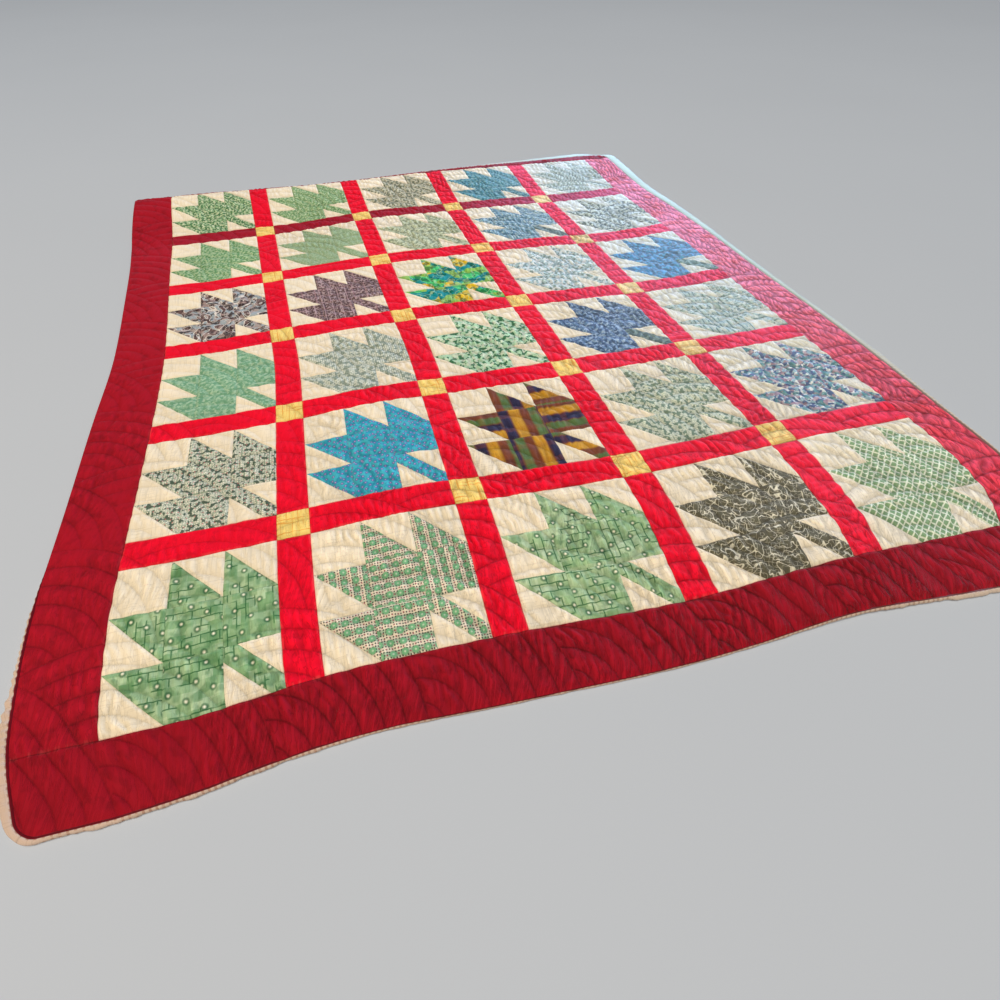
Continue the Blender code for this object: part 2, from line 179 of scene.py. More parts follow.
# How a height varies at random: its mean, the part that varies, the patches' size, and the seed.
PUCKER_UNEVEN = (0.8, 0.6, 0.03, 33)
GATHER_UNEVEN = (0.7, 0.5, 0.06, 45)
PLEAT_UNEVEN = (0.7, 0.5, 0.09, 62)

# How strongly the cloth is puckered: at the far left, and what the right side, the near left, the
# right border and chance add. The ranges say where the right side and the near end begin, and how
# far on they reach their full strength.
PUCKERED_LEAST = 0.22
PUCKERED_RIGHT = 0.76
PUCKERED_NEAR = 0.34
PUCKERED_BORDER = 0.4
PUCKERED_CHANCE = 0.28
PUCKERED_PATCH = 0.085
PUCKERED_LIMITS = (0.12, 1.6)
RIGHT_RANGE = (-0.70, 1.2)
NEAR_RANGE = (-0.10, 0.75)
BORDER_RANGE = (0.02, 0.03)

# Creases across the red strips, where their long seams drew up in the wash.
GATHER_HEIGHT = 0.0006
GATHER_PERIOD = 0.013

# The furrow of a seam, and the low ridge beside it where the cut edges lie underneath.
SEAM_DEPTH = 0.0012
SEAM_HALF = 0.0026
SEAM_CALM = 0.007
SEAM_CALMEST = 0.3
ALLOWANCE_RISE = 0.0005
ALLOWANCE_AT = 0.005
ALLOWANCE_HALF = 0.0036

# How a crease bends to either side, and how far its ends reach.
CREASE_BEND = 0.6
CREASE_SWINGS = 8
CREASE_REACH = 0.62

# Limits of the thickness and the puff, the low rumples between the lines, how near the edge the
# relief dies away, and how many cells of the upper side one cell of the back takes.
LEAST_THICKNESS = 0.0030
LEAST_PUFF = 0.7
MEAN_PUFF = 0.55
RUMPLE_HEIGHT = 0.0006
RUMPLE_SIZE = 0.020
EDGE_FLAT = 0.010
BACK_STEP = 4

# The main creases in millimetres, each from one place to another across and along: half width,
# and rise if above 0.
CREASES = (
    # near border, from its seam to the edge
    (-655, -820, -640, -893, 5, -1.2),
    (-560, -818, -572, -890, 6, -1.4),
    (-496, -817, -480, -884, 4.6, -1.2),
    (-452, -822, -447, -880, 6, 1.4),
    (-405, -816, -388, -884, 5, -1.5),
    (-352, -820, -349, -888, 4.2, -1.1),
    (-290, -816, -268, -890, 6, -1.6),
    (-241, -822, -236, -884, 5, 1.2),
    (-196, -815, -170, -888, 5.2, -1.4),
    (-122, -820, -112, -888, 4.6, -1.4),
    (-60, -816, -52, -894, 5.6, -1.2),
    (-8, -820, -4, -892, 4.6, -1.6),
    (46, -815, 66, -890, 5.6, -1.4),
    (104, -818, 100, -884, 5, -1.2),
    (150, -816, 172, -882, 5.6, -1.6),
    (210, -820, 205, -880, 4.6, -1.4),
    # left border, where it rolls over
    (-742, -75, -752, -290, 6, -1.8),
    (-752, -290, -746, -480, 5.2, -1.4),
    (-705, -110, -728, -290, 6, -1.3),
    (-716, 170, -714, 290, 5, -1),
    (-690, -560, -780, -604, 6, -1.4),
    (-688, -690, -778, -706, 7, -1.4),
    (-690, -790, -774, -786, 6, -1.4),
    # right border, pulled across
    (680, 560, 752, 535, 6, -1.6),
    (684, 400, 764, 388, 6, -1.6),
    (682, 250, 768, 262, 5.6, -1.6),
    (686, 120, 770, 104, 6, -1.8),
    (684, -40, 772, -54, 5.6, -1.6),
    (682, -210, 760, -236, 6, -1.8),
    (684, -360, 752, -352, 5.6, -1.6),
    (682, -520, 744, -548, 6, -1.8),
    (684, -640, 742, -650, 5.6, -1.6),
    # long soft creases over the pieced middle
    (420, -700, 640, -610, 9, 1.6),
    (150, -350, 330, -460, 8, -1.2),
    (-120, -520, 60, -600, 8, -1.2),
    (-420, -260, -300, -420, 8, -1.2),
    (300, 300, 560, 420, 9, 1.6),
    (180, 50, 460, 160, 9, -1.4),
)

# The edge strip's section: how far out from the red cloth's edge a point is in any case, the share
# of the strip's width by which it is farther out, and its height above the underside.
BINDING_SECTION = (
    (-0.0020, 0.0, 0.0042),
    (0.0002, 0.0, 0.0050),
    (0.0, 0.14, 0.0057),
    (0.0, 0.34, 0.0059),
    (0.0, 0.56, 0.0056),
    (0.0, 0.78, 0.0049),
    (0.0, 0.92, 0.0038),
    (0.0, 1.0, 0.0024),
    (0.0, 0.96, 0.0012),
    (0.0, 0.78, 0.0004),
    (0.0, 0.40, 0.0001),
    (-0.0020, 0.0, 0.0001),
)
BINDING_STEP = 0.0020

# Small pleats along the strip: how high, how often, how far they wander, and how strong each side's.
PLEAT = 0.0010
PLEAT_PERIOD = 0.0105
PLEAT_WANDER = 1.6
PLEAT_WANDER_SIZE = 0.05
PLEAT_LEAST = 0.08
PLEATED = {"left": 1.0, "near": 1.0, "right": 0.3, "far": 0.3}

# How uneven the strip's outer edge is, as height, size and seed at two sizes, over how many points
# its width is evened out, and how it lies where little of it shows.
EDGE_UNEVEN = ((0.30, 0.019, 63), (0.12, 0.007, 64))
EDGE_BLUR = 41
EDGE_WIDE = 0.010
EDGE_LOOSE = 0.005
EDGE_LOW = 0.6
EDGE_FULL = 0.004

# The strip's stitches: their step, how far out they are, the masks of their length and width, and
# their thread. Last, the dark red painted on the strip's inner edge: the red cloth's edge in the
# shade of the crease between them.
EDGE_STITCH = 0.008
EDGE_STITCH_AT = 0.0068
EDGE_DASH = (0.24, 0.16)
EDGE_DASH_ROW = (0.0013, 0.0006, 0.0, 0.5)
EDGE_THREAD = "#A8623A"
EDGE_RED_IN_SHADE = "#7A0A16"

# How much of the strip's width shows: down the left it is turned under for most of the way.
EDGE_SHOWS = {
    "left": 11 * (0.03,) + (0.55, 1.0),
    "right": (1.0, 1.0),
    "near": (0.7, 0.5, 0.4, 0.4, 0.5, 0.7, 1.0),
    "far": (0.2, 0.3, 0.9, 1.0, 1.0),
}

# Sewing, creases and weave as the materials draw them, with the shade and highlights they paint
# into the colour, from the stitched lines to the cloth that is rubbed, stained and painted dark at a
# seam. A pair says where a mask begins and ends, and two more numbers are its values there.
CREASE_HALF = 0.0021
CREASE_CORE = 0.2
CREASE_DEPTH = 0.00025
CREASE_GAPS = (0.3, 0.6, 0.35, 1.0)
CREASE_GAP_SCALE = 45.0
# How much of a stitched line's painted shade shows, from the least to the most puckered cloth.
CREASE_SHOWN = (0.2, 1.0, 0.15, 1.0)
STITCH_DEPTH = 0.00012
STITCH_WIDTH = (0.035, 0.012)
STITCH_LENGTH = (0.12, 0.25)
# Painted shade in the hollows and a painted highlight on the crests, over this fold height in millimetres.
HOLLOW = 1.8
TUCK_HALF = 0.035
# How dark a tuck's painted shade gets, as a share of the hollows' painted shade.
TUCK_DARK = 0.9
TUCK_DEPTH = 0.0003
ROUGH = (0.2, 0.8, 0.81, 0.71)
CRINKLE_SIZE = 7.0
CRINKLE_STRETCH = 0.008
CRINKLE_DEPTH = 0.0007
# Painted shade in the crinkles' troughs and a painted highlight on their crests.
CRINKLE_DARK = (0.30, 0.62)
CRINKLE_PALE = 1.03
CRINKLE_STEPS = (0.3171, 5.37)
THREAD_DRAWN = 1.1
THREAD_STRETCH = 0.11
WEAVE_HEIGHT = 0.00014
SLUB_STRETCH = 0.05
SLUB_RANGE = (0.56, 0.74)
SEAM_SHADOW = (0.0, 0.0011)
RUBBED = "#F4E6D8"
RUBBED_BESIDE = (0.0012, 0.0045, 1.0, 0.0)
RUBBED_ON = (0.4, 0.65)
RIM_RANGE = (0.0014, 0.0004)
RIM_BLEED = 0.55

# Fading in patches by use. Towards the right and over most of the length there, a pale veil is
# painted on to stand for the window's light and sheen, with its own tint for red, pale, border and edge
# cloths.
USE_SCALE = 9.0
USE_FADES = (0.3, 0.7, 0.94, 1.04)
PAINTED_SHEEN_ACROSS = (0.02, 0.70)
PAINTED_SHEEN_ALONG = (-0.90, 0.20, 0.15, 1.0)
RED_PAINTED_SHEEN = "#FF96C6"
PALE_PAINTED_SHEEN = "#E0F2F4"
BORDER_PAINTED_SHEEN = "#F8A4C4"
EDGE_PAINTED_SHEEN = "#C8E8DC"

# The cloths: how dark the painted shade of a stitched line gets, how pale a rubbed edge, how dark
# the painted shade in the hollows gets, and how strongly a veil for the window's light and sheen is
# painted on each, and in which colour. Each border has its own share of that painted veil.
LEAF = {"line": 0.84, "wear": 0.04, "deep": 0.26, "painted_sheen": (0.26, PALE_PAINTED_SHEEN)}
MUSLIN = {"line": 0.88, "wear": 0.0, "deep": 0.22, "painted_sheen": (0.90, PALE_PAINTED_SHEEN)}
RED = {"line": 0.66, "wear": 0.05, "deep": 0.34, "painted_sheen": (0.44, RED_PAINTED_SHEEN)}
YELLOW = {"line": 0.72, "wear": 0.0, "deep": 0.34, "painted_sheen": (0.45, PALE_PAINTED_SHEEN)}
BORDER = {"line": 0.58, "wear": 0.02, "deep": 0.36}
BORDER_PAINTED_SHEEN_SHARES = {"left": 0.08, "right": 0.85, "near": 0.08, "far": 0.08}
STRIP = {"line": 0.66, "wear": 0.0, "deep": 0.2, "painted_sheen": (0.9, EDGE_PAINTED_SHEEN)}
BACK = {"line": 0.85, "wear": 0.0, "deep": 0.1, "painted_sheen": (0.55, PALE_PAINTED_SHEEN)}

# The red that ran into the muslin, slubs and uneven dye as a size in millimetres and a strength or
# share, and each cloth's second tone, or an end border's colour, as a share of its first.
MUSLIN_RIM = "#F0A79A"
YELLOW_SLUB = "#EDA23C"
YELLOW_SLUBS = (3.4, 0.85)
SLUBS = (2.6, 0.6)
SASH_DYE = (14.0, 0.3)
BORDER_DYE = (22.0, 0.35)
SECOND_TONE = 0.80
SASH_TONE = 0.84
BACK_TONE = 0.88
# The far border is painted darker, as shade behind the ridge; the near one is darker too.
END_BORDER_SHARES = {"near": 0.84, "far": 0.70}

# The strip's own entry in the fold map, and the seeds by which patches are spread over their cloths.
STRIP_FOLDS = (0.0, 0.8)
CUT_SEEDS = {"muslin": 52, "sashes": 53, "borders": 54}

# A matt cotton fibre: the refraction of cellulose, a soft bloom of fibre ends and almost no gloss.
COTTON = {"Specular IOR Level": 0.14, "Sheen Weight": 0.12, "Sheen Roughness": 0.3, "IOR": 1.5}

# How a motif's noise is cut into blots: its level where none is covered, and the fall to full cover.
BLOT_LEVEL = 0.62
BLOT_FALL = 0.28
DYE_FALL = 0.3
DYE_SOFT = 0.2
LINE_EDGES = (0.20, 0.08)
DOT_EDGES = (0.06, 0.05)
STRIPE_EDGE = 0.04
KEPT_HOOKS = (0.47, 0.53)
HOOK_PATCH = 1.4
SEED_RISE = 0.7

# How patches are spread over their cloth: the places to choose from, and two whole numbers that
# turn a patch's own place, in tenths of a millimetre, into a choice.
CUT_PLACES = 997
CUT_KEY = (31, 17)
TENTHS = 1e4

# How far a corner is drawn towards its triangle's middle, and how near is the same place.
CORNER_INWARDS = 0.001
NEARLY = 1e-6

# The stage: its floor and sky, and its lamps as name, place, aim, size, colour and power in watts.
FLOOR_HALF = 14.0
FLOOR_LEVEL = -0.0006
WORLD_COLOUR = "#F6F8FF"
WORLD_STRENGTH = 0.13
LAMPS = (
    ("window light", (1.9, 1.75, 0.75), (0.60, 0.20, 0.0), (1.8, 1.0), "#B4CEFF", 78.0),
    ("soft overhead light", (-3.0, -3.0, 18.0), (0.0, 0.0, 0.0), (13.0, 13.0), "#FFF3E2", 2650.0),
    ("warm fill", (-2.6, -1.9, 2.2), (-0.4, -0.5, 0.0), (2.0, 2.0), "#FFD6A4", 20.0),
)
QUILT_ONLY = "window light"
FLOOR_MATT = {"Roughness": 0.95, "Specular IOR Level": 0.1}
FLOOR_CLOUDS = 1.1
FLOOR_TONE = 0.96

# The camera, from the middle of the pieced panel, and the photograph's framing.
CAMERA_AT = Vector((-0.3359, -1.1365, 0.6644))
CAMERA_HEADING = math.radians(11.85)
CAMERA_TILT = math.radians(48.29)
CAMERA_ROLL = math.radians(-1.575)
CAMERA_LENS = 19.871
CAMERA_SENSOR = 36.0
CAMERA_SHIFT = 0.0752

CUT_MAP = "cut"
SEWING_MAP = "sewing"
SEAM_MAP = "seams"
FOLD_MAP = "folds"


def linear(text):
    """A colour from its sRGB hex value, as linear red, green, blue and alpha."""
    parts = [int(text[i : i + 2], 16) / 255 for i in (1, 3, 5)]
    parts = [v / 12.92 if v <= 0.04045 else ((v + 0.055) / 1.055) ** 2.4 for v in parts]
    return (*parts, 1.0)


def knot_weights(x, knots):
    """Weights that blend values given at the knots into a smooth curve, level beyond the ends."""
    knots = np.asarray(knots, float)
    x = np.clip(np.atleast_1d(np.asarray(x, float)), knots[0], knots[-1])
    last = len(knots) - 1
    i = np.clip(np.searchsorted(knots, x, side="right") - 1, 0, last - 1)
    span = knots[i + 1] - knots[i]
    t = (x - knots[i]) / span
    weights = np.zeros((len(x), last + 1))
    rows = np.arange(len(x))
    weights[rows, i] += 2 * t**3 - 3 * t**2 + 1
    weights[rows, i + 1] += 3 * t**2 - 2 * t**3
    for knot, pull in ((i, t**3 - 2 * t**2 + t), (i + 1, t**3 - t**2)):
        before = np.maximum(knot - 1, 0)
        after = np.minimum(knot + 1, last)
        pull = pull * span / (knots[after] - knots[before])
        weights[rows, after] += pull
        weights[rows, before] -= pull
    return weights


def curve(x, knots, values):
    """The smooth curve through values given at the knots."""
    return knot_weights(x, knots) @ np.asarray(values, float)


def drift_from(table, across_at, across, along):
    """The value of a drift table at each place. The table's first column is the place along."""
    table = np.asarray(sorted(table))
    by_row = knot_weights(across, across_at) @ table[:, 1:].T
    return (by_row * knot_weights(along, table[:, 0])).sum(axis=1)


def hump(x, middle, half):
    """1 at the middle, falling smoothly to 0 at the half length and beyond."""
    return 0.5 + 0.5 * np.cos(np.pi * np.clip((x - middle) / half, -1, 1))


def smooth(t):
    """0 below 0, 1 above 1, and a soft rise between them."""
    t = np.clip(t, 0, 1)
    return t * t * (3 - 2 * t)


def ridge_of(across, along):
    """The far end's ridge: a long soft rise to its crest, then a short fall to the far edge."""
    crest = curve(across, RIDGE_ACROSS_AT, RIDGE_CREST)
    rising = np.clip((along - RIDGE_FOOT) / (crest - RIDGE_FOOT), 0, 1)
    front = 0.5 * rising + 0.5 * smooth(rising)
    back = smooth((RIDGE_BACK - along) / (RIDGE_BACK - crest))
    height = curve(across, RIDGE_ACROSS_AT, RIDGE_HEIGHT)
    return height * np.where(along < crest, front, back)


def humps_from(table, across, along):
    """The sum of a table's rounded humps at each place. Its last column is the size of each."""
    total = np.zeros(len(across))
    for _name, middle_across, middle_along, half_across, half_along, size in table:
        total += size * hump(across, middle_across, half_across) * hump(along, middle_along, half_along)
    return total


def lie(places, above=0.0):
    """Where places on the flat cloth come to lie, at a height above the underside."""
    across, along = places[:, 0], places[:, 1]
    x = across + drift_from(SIDEWAYS_DRIFT, DRIFT_ACROSS_AT, across, along)
    y = along - drift_from(LENGTHWISE_DRIFT, SEAM_ACROSS_AT, across, along)
    y = y - humps_from(SEAM_BOWS, across, along)
    rise = ridge_of(across, along) + humps_from(SWELLS, across, along)
    return np.column_stack((x, y, rise + above))


def panel_shift():
    """The solids are centred on the whole quilt. This is where that puts the panel's middle."""
    across = np.linspace(-HALF_WIDTH, HALF_WIDTH, RIM_SAMPLES)
    along = np.linspace(-HALF_LENGTH, HALF_LENGTH, RIM_SAMPLES)
    rim = [(x, side * HALF_LENGTH) for side in (-1, 1) for x in across]
    rim += [(side * HALF_WIDTH, y) for side in (-1, 1) for y in along]
    low = lie(np.array(rim)).min(axis=0)
    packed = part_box("pieced_panel")[0]
    return Vector((packed[0] - low[0], packed[1] - low[1], 0.0))


SHIFT = panel_shift()


def soft_noise(places, size, seed):
    """Smooth random values from -1 to 1, in lumps of about this size."""
    table = np.random.default_rng(seed).uniform(-1, 1, (NOISE_CELLS, NOISE_CELLS))
    at = places / size
    low = np.floor(at).astype(int)
    t = smooth(at - low)
    i, j = (low % NOISE_CELLS).T
    after_i, after_j = (i + 1) % NOISE_CELLS, (j + 1) % NOISE_CELLS
    first = table[i, j] * (1 - t[:, 0]) + table[after_i, j] * t[:, 0]
    second = table[i, after_j] * (1 - t[:, 0]) + table[after_i, after_j] * t[:, 0]
    return first * (1 - t[:, 1]) + second * t[:, 1]


def uneven(places, mean, part, size, seed):
    """Smooth random values round a mean."""
    return mean + part * soft_noise(places, size, seed)


def on_line(run):
    """Places along a line, for the noise there."""
    return np.column_stack((run, np.zeros(len(run))))


def sway(places):
    """Stitched by hand and washed, the arcs stray a little from true circles."""
    return SWAY * np.column_stack([soft_noise(places, SWAY_SIZE, seed) for seed in SWAY_SEEDS])


def fan_centres():
    """The middles of the quilting fans, in the order in which they were drawn."""
    bottom = -HALF_LENGTH - max(BORDER_WIDTHS["near"])
    left = -HALF_WIDTH - max(BORDER_WIDTHS["left"])
    rows = math.ceil((2 * HALF_LENGTH + BOTH_BORDERS) / FAN_ROW_STEP)
    columns = math.ceil((2 * HALF_WIDTH + BOTH_BORDERS) / FAN_STEP) + SPARE_FANS
    centres = []
    for row in range(rows):
        start = left + (row % 2 - 1) * FAN_STEP / 2
        for column in range(columns):
            centres.append((start + column * FAN_STEP, bottom + row * FAN_ROW_STEP))
    return np.array(centres)


FANS = fan_centres()


def fan_radius(places, centre):
    """How far each place is from a fan's middle."""
    return np.hypot(places[:, 0] - centre[0], places[:, 1] - centre[1])


def fan_of(places, spare=0.0):
    """Which fan each place belongs to: the first one drawn that reaches it."""
    owner = np.full(len(places), -1)
    for number, centre in enumerate(FANS):
        near = fan_radius(places, centre) <= FAN_REACH + spare
        owner[(owner < 0) & near] = number
    return owner


def line_clearance(places):
    """Each place's fan, and how far it is from the nearest stitched line, up to half a gap."""
    owner = np.full(len(places), -1)
    nearest = np.full(len(places), LINE_GAP / 2)
    for number, centre in enumerate(FANS):
        radius = fan_radius(places, centre)
        free = owner < 0
        inside = free & (radius <= FAN_REACH)
        ring = np.abs(radius / LINE_GAP - np.round(radius / LINE_GAP)) * LINE_GAP
        ring = np.where(radius < LINE_GAP / 2, LINE_GAP / 2, ring)
        nearest = np.where(inside, np.minimum(nearest, ring), nearest)
        nearest = np.where(free & ~inside, np.minimum(nearest, np.abs(radius - FAN_REACH)), nearest)
        owner[inside] = number
    return owner, nearest


def between_lines(nearest):
    """0 on a stitched line, rising in a round arch to 1 midway between two."""
    return 1 - (1 - nearest / (LINE_GAP / 2)) ** 2


def in_pitch(places):
    """Each place within its block and sashes, from their far left corner."""
    return (places[:, 0] + HALF_WIDTH) % PITCH, (HALF_LENGTH - places[:, 1]) % PITCH


def on_panel(places):
    """Which places are on the pieced panel."""
    return (np.abs(places[:, 0]) <= HALF_WIDTH) & (np.abs(places[:, 1]) <= HALF_LENGTH)


def along_lines(places, owner):
    """Each place's radius in line gaps, and its way round the arc, in metres."""
    centre = FANS[owner]
    right, up = (places - centre).T
    radius = np.hypot(right, up)
    return radius / LINE_GAP, np.arctan2(right, up) * radius


def bunches_at(places):
    """The height of the bunched folds where the near border is pushed together."""
    below_seam = np.clip((-HALF_LENGTH + BUNCH_REACH - places[:, 1]) / (2 * BUNCH_REACH), 0, 1)
    across = places[:, 0] - BUNCH_LEAN * below_seam
    height = np.zeros(len(places))
    for middle in BUNCH_AT:
        height += BUNCH_HEIGHT * hump(across, middle, BUNCH_HALF_WIDTH)
    return height * below_seam


def seam_clearance(places):
    """How far each place is from the nearest seam of the patchwork or the borders."""
    beyond_x = np.abs(places[:, 0]) - HALF_WIDTH
    beyond_y = np.abs(places[:, 1]) - HALF_LENGTH
    x, y = in_pitch(places)
    to_x = np.minimum(np.abs(x - np.round(x / PATCH) * PATCH), PITCH - x)
    to_y = np.minimum(np.abs(y - np.round(y / PATCH) * PATCH), PITCH - y)
    in_block_x, in_block_y = x < BLOCK, y < BLOCK
    to_x = np.where(in_block_y | ~in_block_x, to_x, np.minimum(x, BLOCK - x))
    to_y = np.where(in_block_x | ~in_block_y, to_y, np.minimum(y, BLOCK - y))
    clear = np.minimum(to_x, to_y)
    column, row = (x // PATCH).astype(int), (y // PATCH).astype(int)
    diagonal = np.abs((x % PATCH) - (y % PATCH)) / math.sqrt(2)
    halved = in_block_x & in_block_y & (((row == 0) & (column > 0)) | ((column == 0) & (row > 0)))
    stem = in_block_x & in_block_y & (row == 2) & (column == 2)
    clear = np.where(halved, np.minimum(clear, diagonal), clear)
    clear = np.where(stem, np.minimum(clear, np.abs(diagonal - STEM_HALF / math.sqrt(2))), clear)
    outside = (beyond_x > 0) | (beyond_y > 0)
    to_side = np.where(beyond_y > 0, HALF_WIDTH, np.abs(beyond_x))
    return np.where(outside, np.minimum(to_side, np.abs(beyond_y)), clear)


def frame_clearance(places):
    """How far each place is inside its block's outline or, beyond the panel, the quilt's edge."""
    x, y = in_pitch(places)
    in_block = np.minimum(np.minimum(x, BLOCK - x), np.minimum(y, BLOCK - y))
    return np.where(on_panel(places), np.maximum(in_block, 0), edge_clearance(places))


def strength_at(places):
    """How strongly the cloth is puckered: least at the far left, most at the right and near."""
    side = smooth((places[:, 0] - RIGHT_RANGE[0]) / RIGHT_RANGE[1])
    near = smooth((NEAR_RANGE[0] - places[:, 1]) / NEAR_RANGE[1])
    border = smooth((places[:, 0] - HALF_WIDTH + BORDER_RANGE[0]) / BORDER_RANGE[1])
    strength = PUCKERED_LEAST + PUCKERED_RIGHT * side + PUCKERED_NEAR * near * (1 - side)
    strength += PUCKERED_CHANCE * soft_noise(places, PUCKERED_PATCH, seed=21)
    return np.clip(strength + PUCKERED_BORDER * border, *PUCKERED_LIMITS)


def puckers_at(places, owner, nearest):
    """Short ripples that run from one stitched line to the next, out of step from band to band."""
    sizes = bpy.context.scene.quilt_sizes
    phase, way = along_lines(places, owner)
    ring = owner * (FAN_LINES + 1) + np.floor(phase).astype(int)
    chance = np.random.default_rng(PUCKER_SEED).random((2, ring.max() + 2))
    period = sizes.ripple_period * (1 + PUCKER_SPREAD * chance[0, ring])
    wander = PUCKER_WANDER * soft_noise(places, PUCKER_WANDER_SIZE, seed=32)
    wave = np.cos(2 * np.pi * (way / period + chance[1, ring] + wander))
    # A narrow trough between broad crests, as where thread has drawn the cloth up.
    wave = wave - PUCKER_TROUGH * (1 - wave) ** 2
    height = sizes.ripple_height * uneven(places, *PUCKER_UNEVEN)
    return height * wave * (PUCKER_AT_LINE + (1 - PUCKER_AT_LINE) * between_lines(nearest))


def gathers_at(places):
    """Small creases across the red strips between the blocks."""
    x, y = in_pitch(places)
    beside, below = x > BLOCK, y > BLOCK
    way = np.where(beside, places[:, 1], places[:, 0])
    turn = way / GATHER_PERIOD + PUCKER_WANDER * soft_noise(places, PUCKER_WANDER_SIZE, seed=44)
    wave = np.cos(2 * np.pi * turn) * uneven(places, *GATHER_UNEVEN)
    return np.where(on_panel(places) & (beside ^ below), GATHER_HEIGHT * wave, 0.0)


def creases_at(places):
    """The main creases and soft ridges, placed one by one."""
    height = np.zeros(len(places))
    for start_x, start_y, end_x, end_y, half, rise in np.array(CREASES) / MILLI:
        right, up = end_x - start_x, end_y - start_y
        length = math.hypot(right, up)
        from_x, from_y = places[:, 0] - start_x, places[:, 1] - start_y
        share = (from_x * right + from_y * up) / length**2
        away = (from_y * right - from_x * up) / length
        away += CREASE_BEND * half * np.sin(CREASE_SWINGS * share)
        height += rise * hump(away, 0.0, half) * np.sqrt(hump(share, 0.5, CREASE_REACH))
    return height


def relief_at(places, edge_clear):
    """The upper face's height above the underside, and its fine part over the mean."""
    sewn = places + sway(places)
    owner, nearest = line_clearance(sewn)
    between = between_lines(nearest)
    seam = seam_clearance(places)
    calm = SEAM_CALMEST + (1 - SEAM_CALMEST) * smooth(seam / SEAM_CALM)
    ripples = puckers_at(sewn, owner, nearest) + gathers_at(places)
    ripples += RUMPLE_HEIGHT * between * soft_noise(places, RUMPLE_SIZE, seed=41)
    strong = strength_at(places)
    puff = PUFF * between * np.minimum(LEAST_PUFF + (1 - LEAST_PUFF) * strong, 1)
    fine = puff + creases_at(places) + ripples * strong * calm
    height = THIN + fine + bunches_at(places)
    height -= SEAM_DEPTH * (1 - smooth(seam / SEAM_HALF))
    height += ALLOWANCE_RISE * hump(seam, ALLOWANCE_AT, ALLOWANCE_HALF)
    height = np.maximum(height, LEAST_THICKNESS)
    return THIN + (height - THIN) * smooth(edge_clear / EDGE_FLAT), fine - PUFF * MEAN_PUFF


def width_along(table, side, share):
    """A side's width from its row in the table, at a share of the way along the side."""
    widths = table[side]
    return curve(share, np.linspace(0, 1, len(widths)), widths)


def border_edge(side, place):
    """The across (left, right) or along (near, far) place of a border's outer edge."""
    if side in ("left", "right"):
        share = 0.5 - np.asarray(place) / (2 * HALF_LENGTH)
        out = HALF_WIDTH + width_along(BORDER_WIDTHS, side, share)
        return -out if side == "left" else out
    share = 0.5 + np.asarray(place) / (2 * HALF_WIDTH)
    out = HALF_LENGTH + width_along(BORDER_WIDTHS, side, share)
    return -out if side == "near" else out


def corner_signs(name):
    """Which way a corner lies from the middle: far and right as 1, near and left as -1."""
    return [1 if way in ("far", "right") else -1 for way in name.split("_")]


def corner_arc(name, turn):
    """The rounded corner of the outline, anticlockwise, from the angle given."""
    radius = CORNER_RADIUS[name]
    along_side, across_side = name.split("_")
    far, right = corner_signs(name)
    corner_x = float(border_edge(across_side, far * HALF_LENGTH)[0])
    corner_y = float(border_edge(along_side, right * HALF_WIDTH)[0])
    centre = (corner_x - right * radius, corner_y - far * radius)
    count = 2 * max(2, round(radius * math.pi / 4 / BINDING_STEP))
    angles = turn + math.pi / 2 * np.arange(count + 1) / count
    return np.column_stack((centre[0] + radius * np.cos(angles), centre[1] + radius * np.sin(angles)))


def outline():
    """The red cloth's outer edge, anticlockwise: the side and the place of each point."""
    arcs = {
        "near_right": corner_arc("near_right", -math.pi / 2),
        "far_right": corner_arc("far_right", 0.0),
        "far_left": corner_arc("far_left", math.pi / 2),
        "near_left": corner_arc("near_left", math.pi),
    }
    runs = (
        ("near", "near_left", "near_right", 0),
        ("right", "near_right", "far_right", 1),
        ("far", "far_right", "far_left", 0),
        ("left", "far_left", "near_left", 1),
    )
    sides, places = [], []
    for side, first, last, axis in runs:
        before, after = arcs[first], arcs[last]
        start, end = before[-1][axis], after[0][axis]
        steps = round(abs(end - start) / BINDING_STEP)
        inner = np.linspace(start, end, steps + 1)[1:-1]
        edge = border_edge(side, inner)
        run = np.column_stack((edge, inner) if axis else (inner, edge))
        run = np.vstack((before[len(before) // 2 :], run, after[: len(after) // 2]))
        sides += [side] * len(run)
        places.append(run)
    return np.array(sides), np.vstack(places)


def cell_size():
    """The side of one grid cell of the patchwork."""
    return PATCH / bpy.context.scene.quilt_sizes.cells


def panel_lines(count, each):
    """Places of the panel's grid lines on one axis, from 0: blocks of cells with sashes between."""
    cells = bpy.context.scene.quilt_sizes.cells
    block = np.arange(3 * cells) * BLOCK / (3 * cells)
    sash_cells = round(cells * SASH / PATCH)
    sash = BLOCK + np.arange(sash_cells) * SASH / sash_cells
    lines = np.concatenate([i * PITCH + np.concatenate((block, sash)) for i in range(count)])
    return np.append(lines[: len(lines) - sash_cells], each)


def grid_from(across, along):
    """A grid's places, in rows from far to near and columns from left to right."""
    return np.stack(np.broadcast_arrays(across, along), axis=-1)


def panel_grid():
    """The pieced panel's grid, with lines on every seam."""
    across = panel_lines(COLUMNS, 2 * HALF_WIDTH) - HALF_WIDTH
    along = HALF_LENGTH - panel_lines(ROWS, 2 * HALF_LENGTH)
    return grid_from(across[None, :], along[:, None])


def side_border_grid(side, panel):
    """The border beside the panel, whose rows carry on the panel's rows."""
    along = panel[:, 0, 1]
    steps = round(max(BORDER_WIDTHS[side]) / cell_size())
    share = np.linspace(0, 1, steps + 1)
    seam = HALF_WIDTH * (-1 if side == "left" else 1)
    edge = border_edge(side, along)
    if side == "left":
        share = 1 - share
    across = seam + (edge - seam)[:, None] * share[None, :]
    return grid_from(across, along[:, None])


